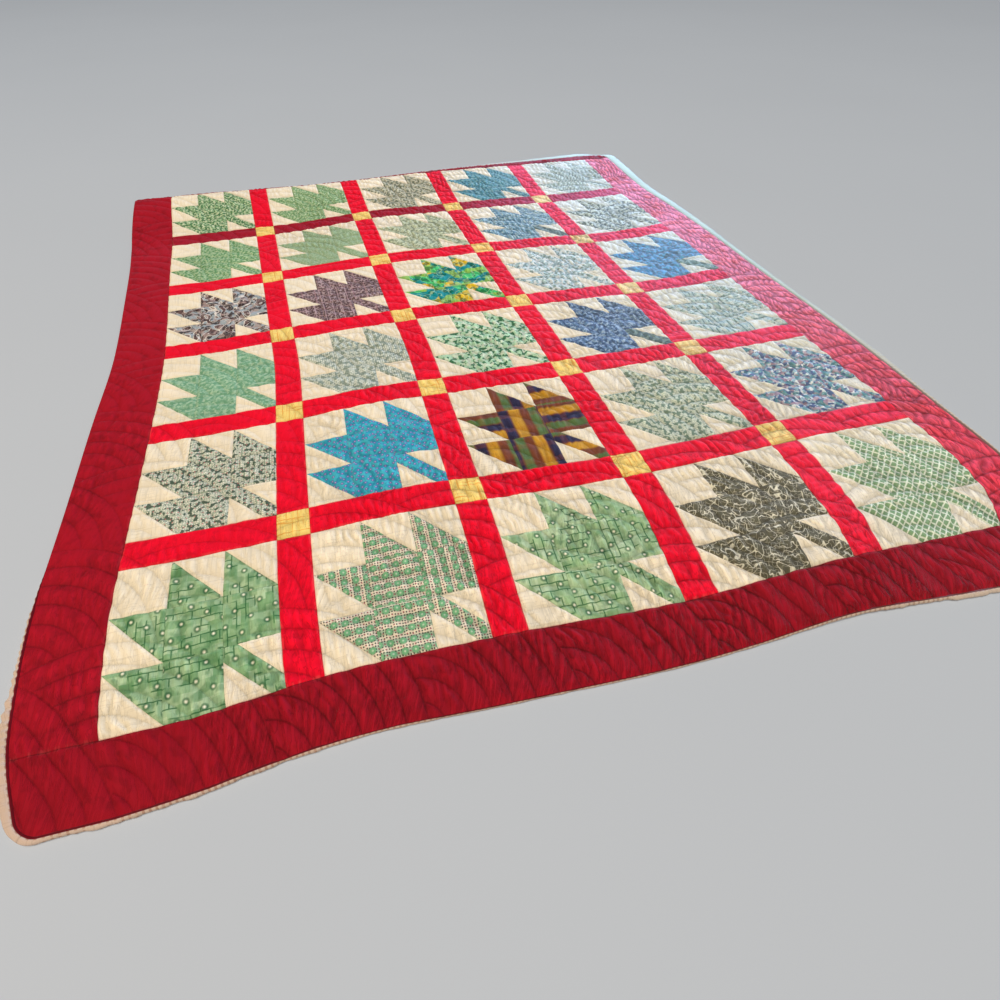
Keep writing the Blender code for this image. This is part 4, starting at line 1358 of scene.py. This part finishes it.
def quilted_cotton(name, colour_of, line, wear, deep, painted_sheen, rim=None, rim_strength=RIM_BLEED):
    """A woven cotton, hand quilted and washed.

    colour_of(tree, at) gives the dyed or printed colour. line is how dark the painted shade of a
    stitched line gets, wear how pale the cloth gets over the cut edges beside a seam, and deep how dark
    the painted shade in the hollows of its folds gets, with painted highlights on their crests. The
    next argument says how strongly a veil for the window's light and sheen is painted on it nearest
    the window, and in which colour. rim is the colour at its edge next to the red strip: on muslin the
    red that has run into it, on the edge strip the red cloth's edge painted dark as the crease's shade.
    The last argument says how strongly it shows.
    """
    material = bpy.data.materials.new(name)
    material.use_nodes = True
    tree = material.node_tree
    shader = tree.nodes["Principled BSDF"]
    at = node(tree, "UVMap", uv_map=CUT_MAP)
    phase, way = map_parts(tree, SEWING_MAP)
    seam, frame_in = map_parts(tree, SEAM_MAP)
    fine, strong = map_parts(tree, FOLD_MAP)
    crease, dip = stitch_masks(tree, phase, way)
    folds = crinkles(tree, phase, way)
    tuck = node(tree, "MapRange", (away_from(tree, folds, 0.5), TUCK_HALF, CREASE_CORE * TUCK_HALF), **SOFT)
    tuck = node(tree, "Math", (tuck, strong), **TIMES)
    body = node(tree, "TexCoord", out="Object")
    colour = colour_of(tree, at)
    if rim is not None:
        run = node(tree, "MapRange", (frame_in, *RIM_RANGE, 0.0, rim_strength), **SOFT)
        colour = node(tree, "Mix", {0: run, 6: colour, 7: rim}, **TINT)
    # A pale veil painted towards the right stands for the window's light and sheen on the cloth.
    colour = paint_window_sheen(tree, body, colour, *painted_sheen)
    # Faded by use in patches; painted shade in the hollows of the folds and in the crinkles' troughs,
    # with painted highlights on their crests, and painted shade where a stitched line, tuck or seam
    # draws in.
    use = node(tree, "TexNoise", {"Vector": body, "Scale": USE_SCALE, "Detail": 3.0})
    shade = node(tree, "MapRange", (use, *USE_FADES), **SOFT)
    fine = node(tree, "Math", (fine, strong), **TIMES)
    least = node(tree, "Math", (strong, -0.5 * deep, 1.0), **PLUS_TIMES)
    drawn = node(tree, "MapRange", (strong, *CREASE_SHOWN))
    drawn = node(tree, "Math", (crease, drawn), **TIMES)
    for factor in (
        node(tree, "MapRange", (fine, -HOLLOW, HOLLOW / 2, 1 - deep, 1 + deep / 2)),
        node(tree, "MapRange", (folds, *CRINKLE_DARK, least, CRINKLE_PALE), **SOFT),
        node(tree, "MapRange", (tuck, 0.0, 1.0, 1.0, 1 - TUCK_DARK * deep)),
        node(tree, "MapRange", (drawn, 0.0, 1.0, 1.0, line)),
        node(tree, "MapRange", (seam, *SEAM_SHADOW, line, 1.0), **SOFT),
    ):
        shade = node(tree, "Math", (shade, factor), **TIMES)
    grey = node(tree, "CombineColor", (shade, shade, shade))
    colour = node(tree, "Mix", {0: 1.0, 6: colour, 7: grey}, blend_type="MULTIPLY", **TINT)
    # Wear: over the cut edges beside each seam the cloth is rubbed paler.
    rubbed = node(tree, "MapRange", (seam, *RUBBED_BESIDE), **SOFT)
    on_folds = node(tree, "MapRange", (folds, *RUBBED_ON, 0.0, wear))
    rubbed = node(tree, "Math", (rubbed, on_folds), **TIMES)
    colour = node(tree, "Mix", {0: rubbed, 6: colour, 7: linear(RUBBED)}, **TINT)
    # Threads are about 0.35 mm apart in such cotton, and are drawn 1.1 mm apart so that they show.
    threads = thread_noise(tree, at, THREAD_DRAWN, THREAD_STRETCH, 0.0)
    weave = node(tree, "Math", threads, operation="ADD")
    height = node(tree, "Math", (weave, WEAVE_HEIGHT), **TIMES)
    folded = node(tree, "Math", (folds, strong), **TIMES)
    for part, rise in (
        (folded, CRINKLE_DEPTH), (tuck, -TUCK_DEPTH), (crease, -CREASE_DEPTH), (dip, -STITCH_DEPTH),
    ):
        height = node(tree, "Math", (part, rise, height), **PLUS_TIMES)
    bump = node(tree, "Bump", {"Height": height, "Distance": 1.0, "Strength": 1.0})
    rough = node(tree, "MapRange", (folds, *ROUGH))
    for value, socket in ((colour, "Base Color"), (bump, "Normal"), (rough, "Roughness")):
        tree.links.new(value, shader.inputs[socket])
    for socket, value in COTTON.items():
        shader.inputs[socket].default_value = value
    return material


class QuiltSizes(bpy.types.PropertyGroup):
    """Sizes of the quilt's cloth and sewing that a user may change."""

    cells: IntProperty(
        name="Cells a patch", description="Grid cells along one patch of the patchwork",
        default=28, min=4, max=40,
    )
    ripple_height: FloatProperty(
        name="Ripple height", description="How far the cloth rises between two stitched lines' tucks",
        default=PUCKER_HEIGHT, min=0.0, max=0.004, unit="LENGTH",
    )
    ripple_period: FloatProperty(
        name="Ripple length", description="Least distance from one short ripple to the next",
        default=PUCKER_PERIOD, min=0.004, max=0.05, unit="LENGTH",
    )
    stitch: FloatProperty(
        name="Stitch", description="Length of one hand stitch and the gap after it",
        default=0.0055, min=0.001, max=0.02, unit="LENGTH",
    )
    pleat: FloatProperty(
        name="Edge pleats", description="Height of the small pleats along the edge strip",
        default=PLEAT, min=0.0, max=0.003, unit="LENGTH",
    )


def colour_property(name, text, description):
    """A colour that a user may change, given as sRGB."""
    return FloatVectorProperty(
        name=name, description=description, subtype="COLOR", default=linear(text)[:3], min=0, max=1
    )


class QuiltColours(bpy.types.PropertyGroup):
    """Colours of the quilt's plain cloths."""

    border: colour_property("Border", "#AE0D24", "Crimson border cotton")
    # The right border's red is painted lighter, as lit by the window.
    right_border: colour_property("Right border", "#F0082C", "Crimson cotton of the right border")
    sash: colour_property("Sashes", "#F8042C", "Red cotton strips between the blocks")
    dark_sash: colour_property("Dark sash", "#A8152B", "Darker cotton of the far row of strips")
    muslin: colour_property("Muslin", "#FCF0D4", "Unbleached cotton round the leaves")
    corner: colour_property("Corner squares", "#FFE284", "Yellow cotton where sashes cross")
    edge: colour_property("Edge", "#E8D0BE", "Pale strip round the quilt, and the back")
    floor: colour_property("Floor", "#CCD8E8", "Plain pale floor")


def chosen_colour(name):
    """A plain cloth's colour as the user has set it."""
    return tuple(getattr(bpy.context.scene.quilt_colours, name))


def part_of(colour, share):
    """A colour made darker by a share."""
    return tuple(share * v for v in colour)


# Quarter turns of the print in a leaf's nine patches, and where its choices of cloth start.
LEAF_TURNS = np.array([[0, 0, 1], [1, 0, 3], [0, 2, 1]])
LEAF_SEED = 51
_shared = {}


def quilt_cloth():
    """The five grids of the quilt's upper side, made once for all operators."""
    if not _shared:
        panel = panel_grid()
        left = side_border_grid("left", panel)
        right = side_border_grid("right", panel)
        near = end_border_grid("near", panel, left, right)
        far = end_border_grid("far", panel, left, right)
        _shared.update(panel=panel, left=left, right=right, near=near, far=far)
        _shared["panel_cloth"] = Cloth(panel)
    return _shared


def panel_parts():
    """The panel, and for each of its triangles its column, row and place in its block or sash."""
    cloth = quilt_cloth()["panel_cloth"]
    x = (cloth.middles[:, 0] + HALF_WIDTH) / PITCH
    y = (HALF_LENGTH - cloth.middles[:, 1]) / PITCH
    column, row = np.floor(x).astype(int), np.floor(y).astype(int)
    return cloth, column, row, (x - column) * PITCH, (y - row) * PITCH


def leaf_masks(inner_x, inner_y):
    """Which triangles of a block are leaf and which of those stem, and the patch of each."""
    patch_x, patch_y = (inner_x // PATCH).astype(int), (inner_y // PATCH).astype(int)
    slant = inner_x % PATCH - inner_y % PATCH
    upper = (patch_y == 0) & (patch_x > 0) & (slant < 0)
    lower = (patch_x == 0) & (patch_y > 0) & (slant > 0)
    whole = (patch_x > 0) & (patch_y > 0) & ~((patch_x == 2) & (patch_y == 2))
    stem = (patch_x == 2) & (patch_y == 2) & (np.abs(slant) < STEM_HALF)
    return upper | lower | whole | stem, stem, patch_x, patch_y


def block_middles(column, row, x, y):
    """The flat place of a spot of each block, from its far left corner."""
    return np.column_stack((column * PITCH - HALF_WIDTH + x, HALF_LENGTH - row * PITCH - y))


def patch_cut(cloth, column, row, patch_x, patch_y, chosen, turns, seed):
    """The cut map of the chosen triangles, each patch cut elsewhere from its cloth."""
    x, y = (patch_x[chosen] + 0.5) * PATCH, (patch_y[chosen] + 0.5) * PATCH
    middles = block_middles(column[chosen], row[chosen], x, y)
    return cut_map(cloth.corners[chosen], middles, turns, seed)


class QUILT_OT_leaves(bpy.types.Operator):
    """The thirty maple leaves, each pieced from its own printed cotton"""

    bl_idname = "quilt.leaves"
    bl_label = "Leaves"

    def execute(self, context):
        # Thin calico: its print shows the weave a little, and stitched lines only dimple it.
        cloth, column, row, inner_x, inner_y = panel_parts()
        in_block = (inner_x < BLOCK) & (inner_y < BLOCK)
        leaf, stem, patch_x, patch_y = leaf_masks(inner_x, inner_y)
        jobs = [("leaf", block, *PRINTS[block]) for block in PRINTS]
        jobs += [("stem", block, *STEMS[block]) for block in STEMS]
        for part, block, label, ground, layers in jobs:
            here = in_block & leaf & (column == block[1] - 1) & (row == block[0] - 1)
            if block in STEMS:
                here &= stem if part == "stem" else ~stem
            chosen = np.flatnonzero(here)
            turns = LEAF_TURNS[patch_y[chosen], patch_x[chosen]]
            seed = LEAF_SEED + block[1]
            cut = patch_cut(cloth, column, row, patch_x, patch_y, chosen, turns, seed)
            material = quilted_cotton(label, printed(ground, layers), **LEAF)
            name = f"{part}_{block[0]}_{block[1]}"
            piece = add_piece(name, cloth, chosen, cut, material, ["pieced_panel"])
        return {"FINISHED"}


class QUILT_OT_muslin(bpy.types.Operator):
    """The cream muslin patches round the leaves"""

    bl_idname = "quilt.muslin"
    bl_label = "Muslin patches"

    def execute(self, context):
        cloth, column, row, inner_x, inner_y = panel_parts()
        leaf, _stem, patch_x, patch_y = leaf_masks(inner_x, inner_y)
        chosen = np.flatnonzero((inner_x < BLOCK) & (inner_y < BLOCK) & ~leaf)
        turns = (column + row + patch_x)[chosen] % 2
        cut = patch_cut(cloth, column, row, patch_x, patch_y, chosen, turns, CUT_SEEDS["muslin"])
        # Unbleached muslin: thick and thin threads give a faint lattice, and red has run into its rim.
        muslin = chosen_colour("muslin")
        material = quilted_cotton(
            "unbleached slub muslin", slubbed(muslin, part_of(muslin, SECOND_TONE)),
            rim=linear(MUSLIN_RIM), **MUSLIN,
        )
        name = "muslin_patches"
        piece = add_piece(name, cloth, chosen, cut, material, ["pieced_panel"])
        return {"FINISHED"}


class QUILT_OT_sashes(bpy.types.Operator):
    """The red strips between the blocks, and the yellow squares where they cross"""

    bl_idname = "quilt.sashes"
    bl_label = "Sashes and corner squares"

    def execute(self, context):
        cloth, column, row, inner_x, inner_y = panel_parts()
        beside, below = inner_x >= BLOCK, inner_y >= BLOCK
        # Piece-dyed cotton: one strong red, a little deeper where the dye took unevenly.
        red, dark, yellow = (chosen_colour(name) for name in ("sash", "dark_sash", "corner"))
        plain = dyed(red, part_of(red, SASH_TONE), *SASH_DYE)
        plain = quilted_cotton("bright red dyed cotton", plain, **RED)
        deep = dyed(dark, part_of(dark, SECOND_TONE), *SASH_DYE)
        deep = quilted_cotton("dark crimson dyed cotton", deep, **RED)
        # Loosely spun yellow cotton: orange slubs give it fine streaks both ways.
        slubs = slubbed(yellow, linear(YELLOW_SLUB)[:3], *YELLOW_SLUBS)
        straw = quilted_cotton("yellow slub cotton", slubs, **YELLOW)
        long, short = BLOCK / 2, BLOCK + SASH / 2
        between_columns, between_rows = COLUMNS - 1, ROWS - 1
        groups = (
            ("sashes_along", beside & ~below, (short, long), 0, plain, between_columns * ROWS),
            ("sash_row_dark", ~beside & below & (row == 0), (long, short), 1, deep, COLUMNS),
            (
                "sashes_across", ~beside & below & (row > 0), (long, short), 1, plain,
                COLUMNS * (between_rows - 1),
            ),
            (
                "corner_squares", beside & below, (short, short), 0, straw,
                between_columns * between_rows,
            ),
        )
        for name, here, middle, turn, material, count in groups:
            chosen = np.flatnonzero(here)
            middles = block_middles(column[chosen], row[chosen], *middle)
            turns = np.full(len(chosen), turn)
            cut = cut_map(cloth.corners[chosen], middles, turns, CUT_SEEDS["sashes"])
            piece = add_piece(name, cloth, chosen, cut, material, ["pieced_panel"])
        return {"FINISHED"}


def flat_area(cloth):
    """The area of a cloth as it was cut."""
    first = cloth.corners[:, 1] - cloth.corners[:, 0]
    second = cloth.corners[:, 2] - cloth.corners[:, 0]
    return float(np.abs(first[:, 0] * second[:, 1] - first[:, 1] * second[:, 0]).sum() / 2)


class QUILT_OT_borders(bpy.types.Operator):
    """The four crimson borders"""

    bl_idname = "quilt.borders"
    bl_label = "Borders"

    def execute(self, context):
        # Heavier crimson cotton: its stitched lines and tucks cast thin dark lines.
        red, bright = chosen_colour("border"), chosen_colour("right_border")
        # The right border is painted lighter, as lit by the window, and the far border darker, as shade
        # behind the ridge; the near one is darker too. Each border has its own share of the painted veil
        # for the window's light and sheen.
        side_reds = {"left": red, "right": bright}
        side_reds |= {side: part_of(red, share) for side, share in END_BORDER_SHARES.items()}
        for side, colour in side_reds.items():
            cloth = Cloth(quilt_cloth()[side])
            material = quilted_cotton(
                f"crimson dyed cotton, {side} border",
                dyed(colour, part_of(colour, SECOND_TONE), *BORDER_DYE),
                painted_sheen=(BORDER_PAINTED_SHEEN_SHARES[side], BORDER_PAINTED_SHEEN), **BORDER,
            )
            chosen = np.arange(len(cloth.triangles))
            still = np.zeros(len(chosen))
            cut = cut_map(cloth.corners, np.zeros((len(chosen), 2)), still, CUT_SEEDS["borders"])
            name, nodes = f"border_cloth_{side}", [f"border_{side}"]
            piece = add_piece(name, cloth, chosen, cut, material, nodes)
        return {"FINISHED"}


def thinned(count, step):
    """Every so many rows of a grid, and its last one."""
    picked = list(range(0, count - 1, step))
    return picked + [count - 1]


class QUILT_OT_backing(bpy.types.Operator):
    """The cream cotton back, which shows round the underside"""

    bl_idname = "quilt.backing"
    bl_label = "Back"

    def execute(self, context):
        # Plain cream cotton, smoother than the top, for the stitches only dimple it.
        edge = chosen_colour("edge")
        material = quilted_cotton(
            "cream backing cotton", slubbed(edge, part_of(edge, BACK_TONE)), **BACK,
        )
        points, faces, maps, area = [], [], [], 0.0
        count = 0
        for name in ("panel", "left", "right", "near", "far"):
            grid = quilt_cloth()[name]
            picked = np.ix_(*(thinned(length, BACK_STEP) for length in grid.shape[:2]))
            cloth = Cloth(grid[picked], underside=True)
            chosen = np.arange(len(cloth.triangles))
            points.append(cloth.laid)
            faces.append(cloth.triangles + count)
            # The back is one cloth, so its seam map is clear of every seam.
            clear = np.full((3 * len(chosen), 2), PATCH)
            cut = cloth.corners.reshape(-1, 2)
            maps.append((cut, cloth.sewing(chosen), clear, cloth.folds(chosen)))
            area += flat_area(cloth)
            count += len(cloth.laid)
        names = (CUT_MAP, SEWING_MAP, SEAM_MAP, FOLD_MAP)
        maps = {name: np.vstack(parts) for name, parts in zip(names, zip(*maps))}
        points, faces = np.vstack(points), np.vstack(faces).tolist()
        piece = add_mesh("backing", points, faces, maps, material, [])
        return {"FINISHED"}


class QUILT_OT_edge(bpy.types.Operator):
    """The pale strip sewn round the quilt's edge, one length a side"""

    bl_idname = "quilt.edge"
    bl_label = "Edge strip"

    def execute(self, context):
        sides, rim = outline()
        way = np.roll(rim, -1, axis=0) - np.roll(rim, 1, axis=0)
        way /= np.linalg.norm(way, axis=1)[:, None]
        out = np.column_stack((way[:, 1], -way[:, 0]))
        run = np.concatenate(([0.0], np.cumsum(np.linalg.norm(np.diff(rim, axis=0), axis=1))))
        # The backing's cotton, brought round: cream and rubbed, with its inner edge painted dark red as the
        # red cloth's edge in the crease's shade.
        material = quilted_cotton(
            "cream edge cotton", stitched_edge(chosen_colour("edge")),
            rim=linear(EDGE_RED_IN_SHADE), rim_strength=1.0, **STRIP,
        )
        # Where two lengths meet in a corner, both end at the mean of their widths.
        widths = self.shown(sides, rim, run)
        for side in ("near", "right", "far", "left"):
            picked = np.flatnonzero(sides == side)
            picked = np.append(picked, (picked[-1] + 1) % len(rim))
            self.add_strip(side, rim[picked], out[picked], run, picked, widths[picked], material)
        return {"FINISHED"}

    def shown(self, sides, rim, run):
        """The strip's width all round: its own table, uneven, and smoothed past the corners."""
        width = np.zeros(len(rim))
        for side in ("near", "right", "far", "left"):
            here = sides == side
            axis, half = (0, HALF_WIDTH) if side in ("near", "far") else (1, -HALF_LENGTH)
            share = 0.5 + rim[here, axis] / half / 2
            shows = curve(share, np.linspace(0, 1, len(EDGE_SHOWS[side])), EDGE_SHOWS[side])
            width[here] = width_along(BINDING_WIDTHS, side, share) * shows
        blur = np.hanning(EDGE_BLUR)
        padded = np.concatenate((width[-EDGE_BLUR:], width, width[:EDGE_BLUR]))
        width = np.convolve(padded, blur / blur.sum(), mode="same")[EDGE_BLUR:-EDGE_BLUR]
        ragged = sum(part * soft_noise(on_line(run), size, seed) for part, size, seed in EDGE_UNEVEN)
        closing = smooth(np.minimum(run, run[-1] - run) / PATCH)
        return width + np.minimum(width, EDGE_LOOSE) * ragged * closing

    def add_strip(self, side, rim, out, whole_run, picked, width, material):
        """One side's strip: its section carried along the rim, with pleats, and closed at both ends."""
        run = whole_run[picked]
        if run[-1] < run[0]:
            run[-1] = whole_run[-1] + BINDING_STEP
        wander = PLEAT_WANDER * soft_noise(on_line(run), PLEAT_WANDER_SIZE, seed=61)
        pleat = np.cos(2 * np.pi * (run / PLEAT_PERIOD + wander))
        pleat *= uneven(on_line(run), *PLEAT_UNEVEN)
        pleat *= PLEATED[side] * smooth(np.minimum(run, whole_run[-1] + BINDING_STEP - run) / PATCH)
        pleat *= bpy.context.scene.quilt_sizes.pleat * np.clip(width / EDGE_WIDE, PLEAT_LEAST, 1.0)
        # Where the strip is turned under, it lies lower than the red cloth beside it.
        low = EDGE_LOW + (1 - EDGE_LOW) * smooth(width / EDGE_FULL)
        points, cuts, clear = [], [], []
        top = max(height for _inward, _part, height in BINDING_SECTION)
        for inward, part, height in BINDING_SECTION:
            # The pleats rise on the strip's upper side only.
            arch = math.sin(math.pi / 2 * height / top) if part and height > top / 3 else 0.0
            at = rim + out * (PIECE_GAP + inward + part * width + part * arch * pleat)[:, None]
            points.append(lie(at, height * low + pleat * arch))
            cuts.append(np.column_stack((run, inward + part * width + height)))
            clear.append(np.column_stack((run * 0 + PATCH, inward + part * width)))
        count, rows = len(BINDING_SECTION), len(rim)
        places = np.stack(points, axis=1).reshape(-1, 3) + np.array(SHIFT)
        index = np.arange(rows * count).reshape(rows, count)
        after = np.roll(index, -1, axis=1)
        quads = np.stack((index[:-1], after[:-1], after[1:], index[1:]), axis=-1).reshape(-1, 4)
        faces = quads[:, ::-1].tolist()
        faces.append(tuple(range(count))[::-1])
        faces.append(tuple(range(len(places) - count, len(places))))
        corners = np.concatenate([np.asarray(face) for face in faces])
        maps = {
            CUT_MAP: np.stack(cuts, axis=1).reshape(-1, 2)[corners],
            SEWING_MAP: np.zeros((len(corners), 2)),
            SEAM_MAP: np.stack(clear, axis=1).reshape(-1, 2)[corners],
            FOLD_MAP: np.tile(STRIP_FOLDS, (len(corners), 1)),
        }
        name, nodes = f"edge_strip_{side}", [f"binding_{side}"]
        piece = add_mesh(name, places, faces, maps, material, nodes)


class QUILT_OT_stage(bpy.types.Operator):
    """The floor, the lights and the camera"""

    bl_idname = "quilt.stage"
    bl_label = "Stage"

    def execute(self, context):
        self.add_lights(context, self.add_floor(context))
        self.add_camera(context)
        context.scene.view_settings.view_transform = "Standard"
        return {"FINISHED"}

    def add_floor(self, context):
        half = FLOOR_HALF
        mesh = bpy.data.meshes.new("floor")
        corners = [(-half, -half), (half, -half), (half, half), (-half, half)]
        mesh.from_pydata([(x, y, FLOOR_LEVEL) for x, y in corners], [], [(0, 1, 2, 3)])
        # Matt paint on plaster: nearly even, with a very faint cloudiness and no glare.
        material = bpy.data.materials.new("matt painted floor")
        material.use_nodes = True
        tree = material.node_tree
        shader = tree.nodes["Principled BSDF"]
        body = node(tree, "TexCoord", out="Object")
        cloud = node(tree, "TexNoise", {"Vector": body, "Scale": FLOOR_CLOUDS, "Detail": 2.0})
        pale = chosen_colour("floor")
        soft = part_of(pale, FLOOR_TONE)
        colour = node(tree, "Mix", {0: cloud, 6: (*pale, 1.0), 7: (*soft, 1.0)}, **TINT)
        tree.links.new(colour, shader.inputs["Base Color"])
        for socket, value in FLOOR_MATT.items():
            shader.inputs[socket].default_value = value
        mesh.materials.append(material)
        floor = bpy.data.objects.new("floor", mesh)
        context.scene.collection.objects.link(floor)
        return floor

    def add_lights(self, context, floor):
        world = bpy.data.worlds.new("soft studio")
        context.scene.world = world
        world.use_nodes = True
        sky = world.node_tree.nodes["Background"]
        sky.inputs["Color"].default_value = linear(WORLD_COLOUR)
        sky.inputs["Strength"].default_value = WORLD_STRENGTH
        for name, at, aim, size, tint, power in LAMPS:
            lamp = bpy.data.lights.new(name, "AREA")
            lamp.shape = "RECTANGLE"
            lamp.size, lamp.size_y = size
            lamp.color = linear(tint)[:3]
            lamp.energy = power
            holder = bpy.data.objects.new(name, lamp)
            holder.location = at
            holder.rotation_euler = (Vector(aim) - Vector(at)).to_track_quat("-Z", "Y").to_euler()
            holder.visible_camera = False
            context.scene.collection.objects.link(holder)
            if name == QUILT_ONLY:
                # The floor is left out of the window's light, so that it stays plain beside it.
                unlit = bpy.data.collections.new("unlit by the window")
                unlit.objects.link(floor)
                unlit.collection_objects[0].light_linking.link_state = "EXCLUDE"
                holder.light_linking.receiver_collection = unlit

    def add_camera(self, context):
        data = bpy.data.cameras.new("camera")
        data.sensor_width = CAMERA_SENSOR
        data.lens = CAMERA_LENS
        data.shift_x = CAMERA_SHIFT
        camera = bpy.data.objects.new("camera", data)
        turn = Matrix.Rotation(-CAMERA_HEADING, 4, "Z")
        turn = turn @ Matrix.Rotation(math.pi / 2 - CAMERA_TILT, 4, "X")
        turn = turn @ Matrix.Rotation(CAMERA_ROLL, 4, "Z")
        camera.matrix_world = Matrix.Translation(CAMERA_AT + SHIFT) @ turn
        context.scene.collection.objects.link(camera)
        context.scene.camera = camera


STEPS = (
    QUILT_OT_leaves, QUILT_OT_muslin, QUILT_OT_sashes, QUILT_OT_borders,
    QUILT_OT_edge, QUILT_OT_backing, QUILT_OT_stage,
)


class QUILT_PT_parts(bpy.types.Panel):
    """Lists the steps that make the quilt"""

    bl_idname = "QUILT_PT_parts"
    bl_label = "Maple leaf quilt"
    bl_space_type = "VIEW_3D"
    bl_region_type = "UI"
    bl_category = "Quilt"

    def draw(self, context):
        for step in STEPS:
            self.layout.operator(step.bl_idname)
        for group in (context.scene.quilt_sizes, context.scene.quilt_colours):
            for name in group.__annotations__:
                self.layout.prop(group, name)


CLASSES = (QuiltSizes, QuiltColours, *STEPS, QUILT_PT_parts)


def register():
    for kind in CLASSES:
        bpy.utils.register_class(kind)
    bpy.types.Scene.quilt_sizes = PointerProperty(type=QuiltSizes)
    bpy.types.Scene.quilt_colours = PointerProperty(type=QuiltColours)


def unregister():
    del bpy.types.Scene.quilt_colours
    del bpy.types.Scene.quilt_sizes
    for kind in reversed(CLASSES):
        bpy.utils.unregister_class(kind)


def main():
    register()
    for step in STEPS:
        group, name = step.bl_idname.split(".")
        getattr(getattr(bpy.ops, group), name)()


if __name__ == "__main__":
    main()
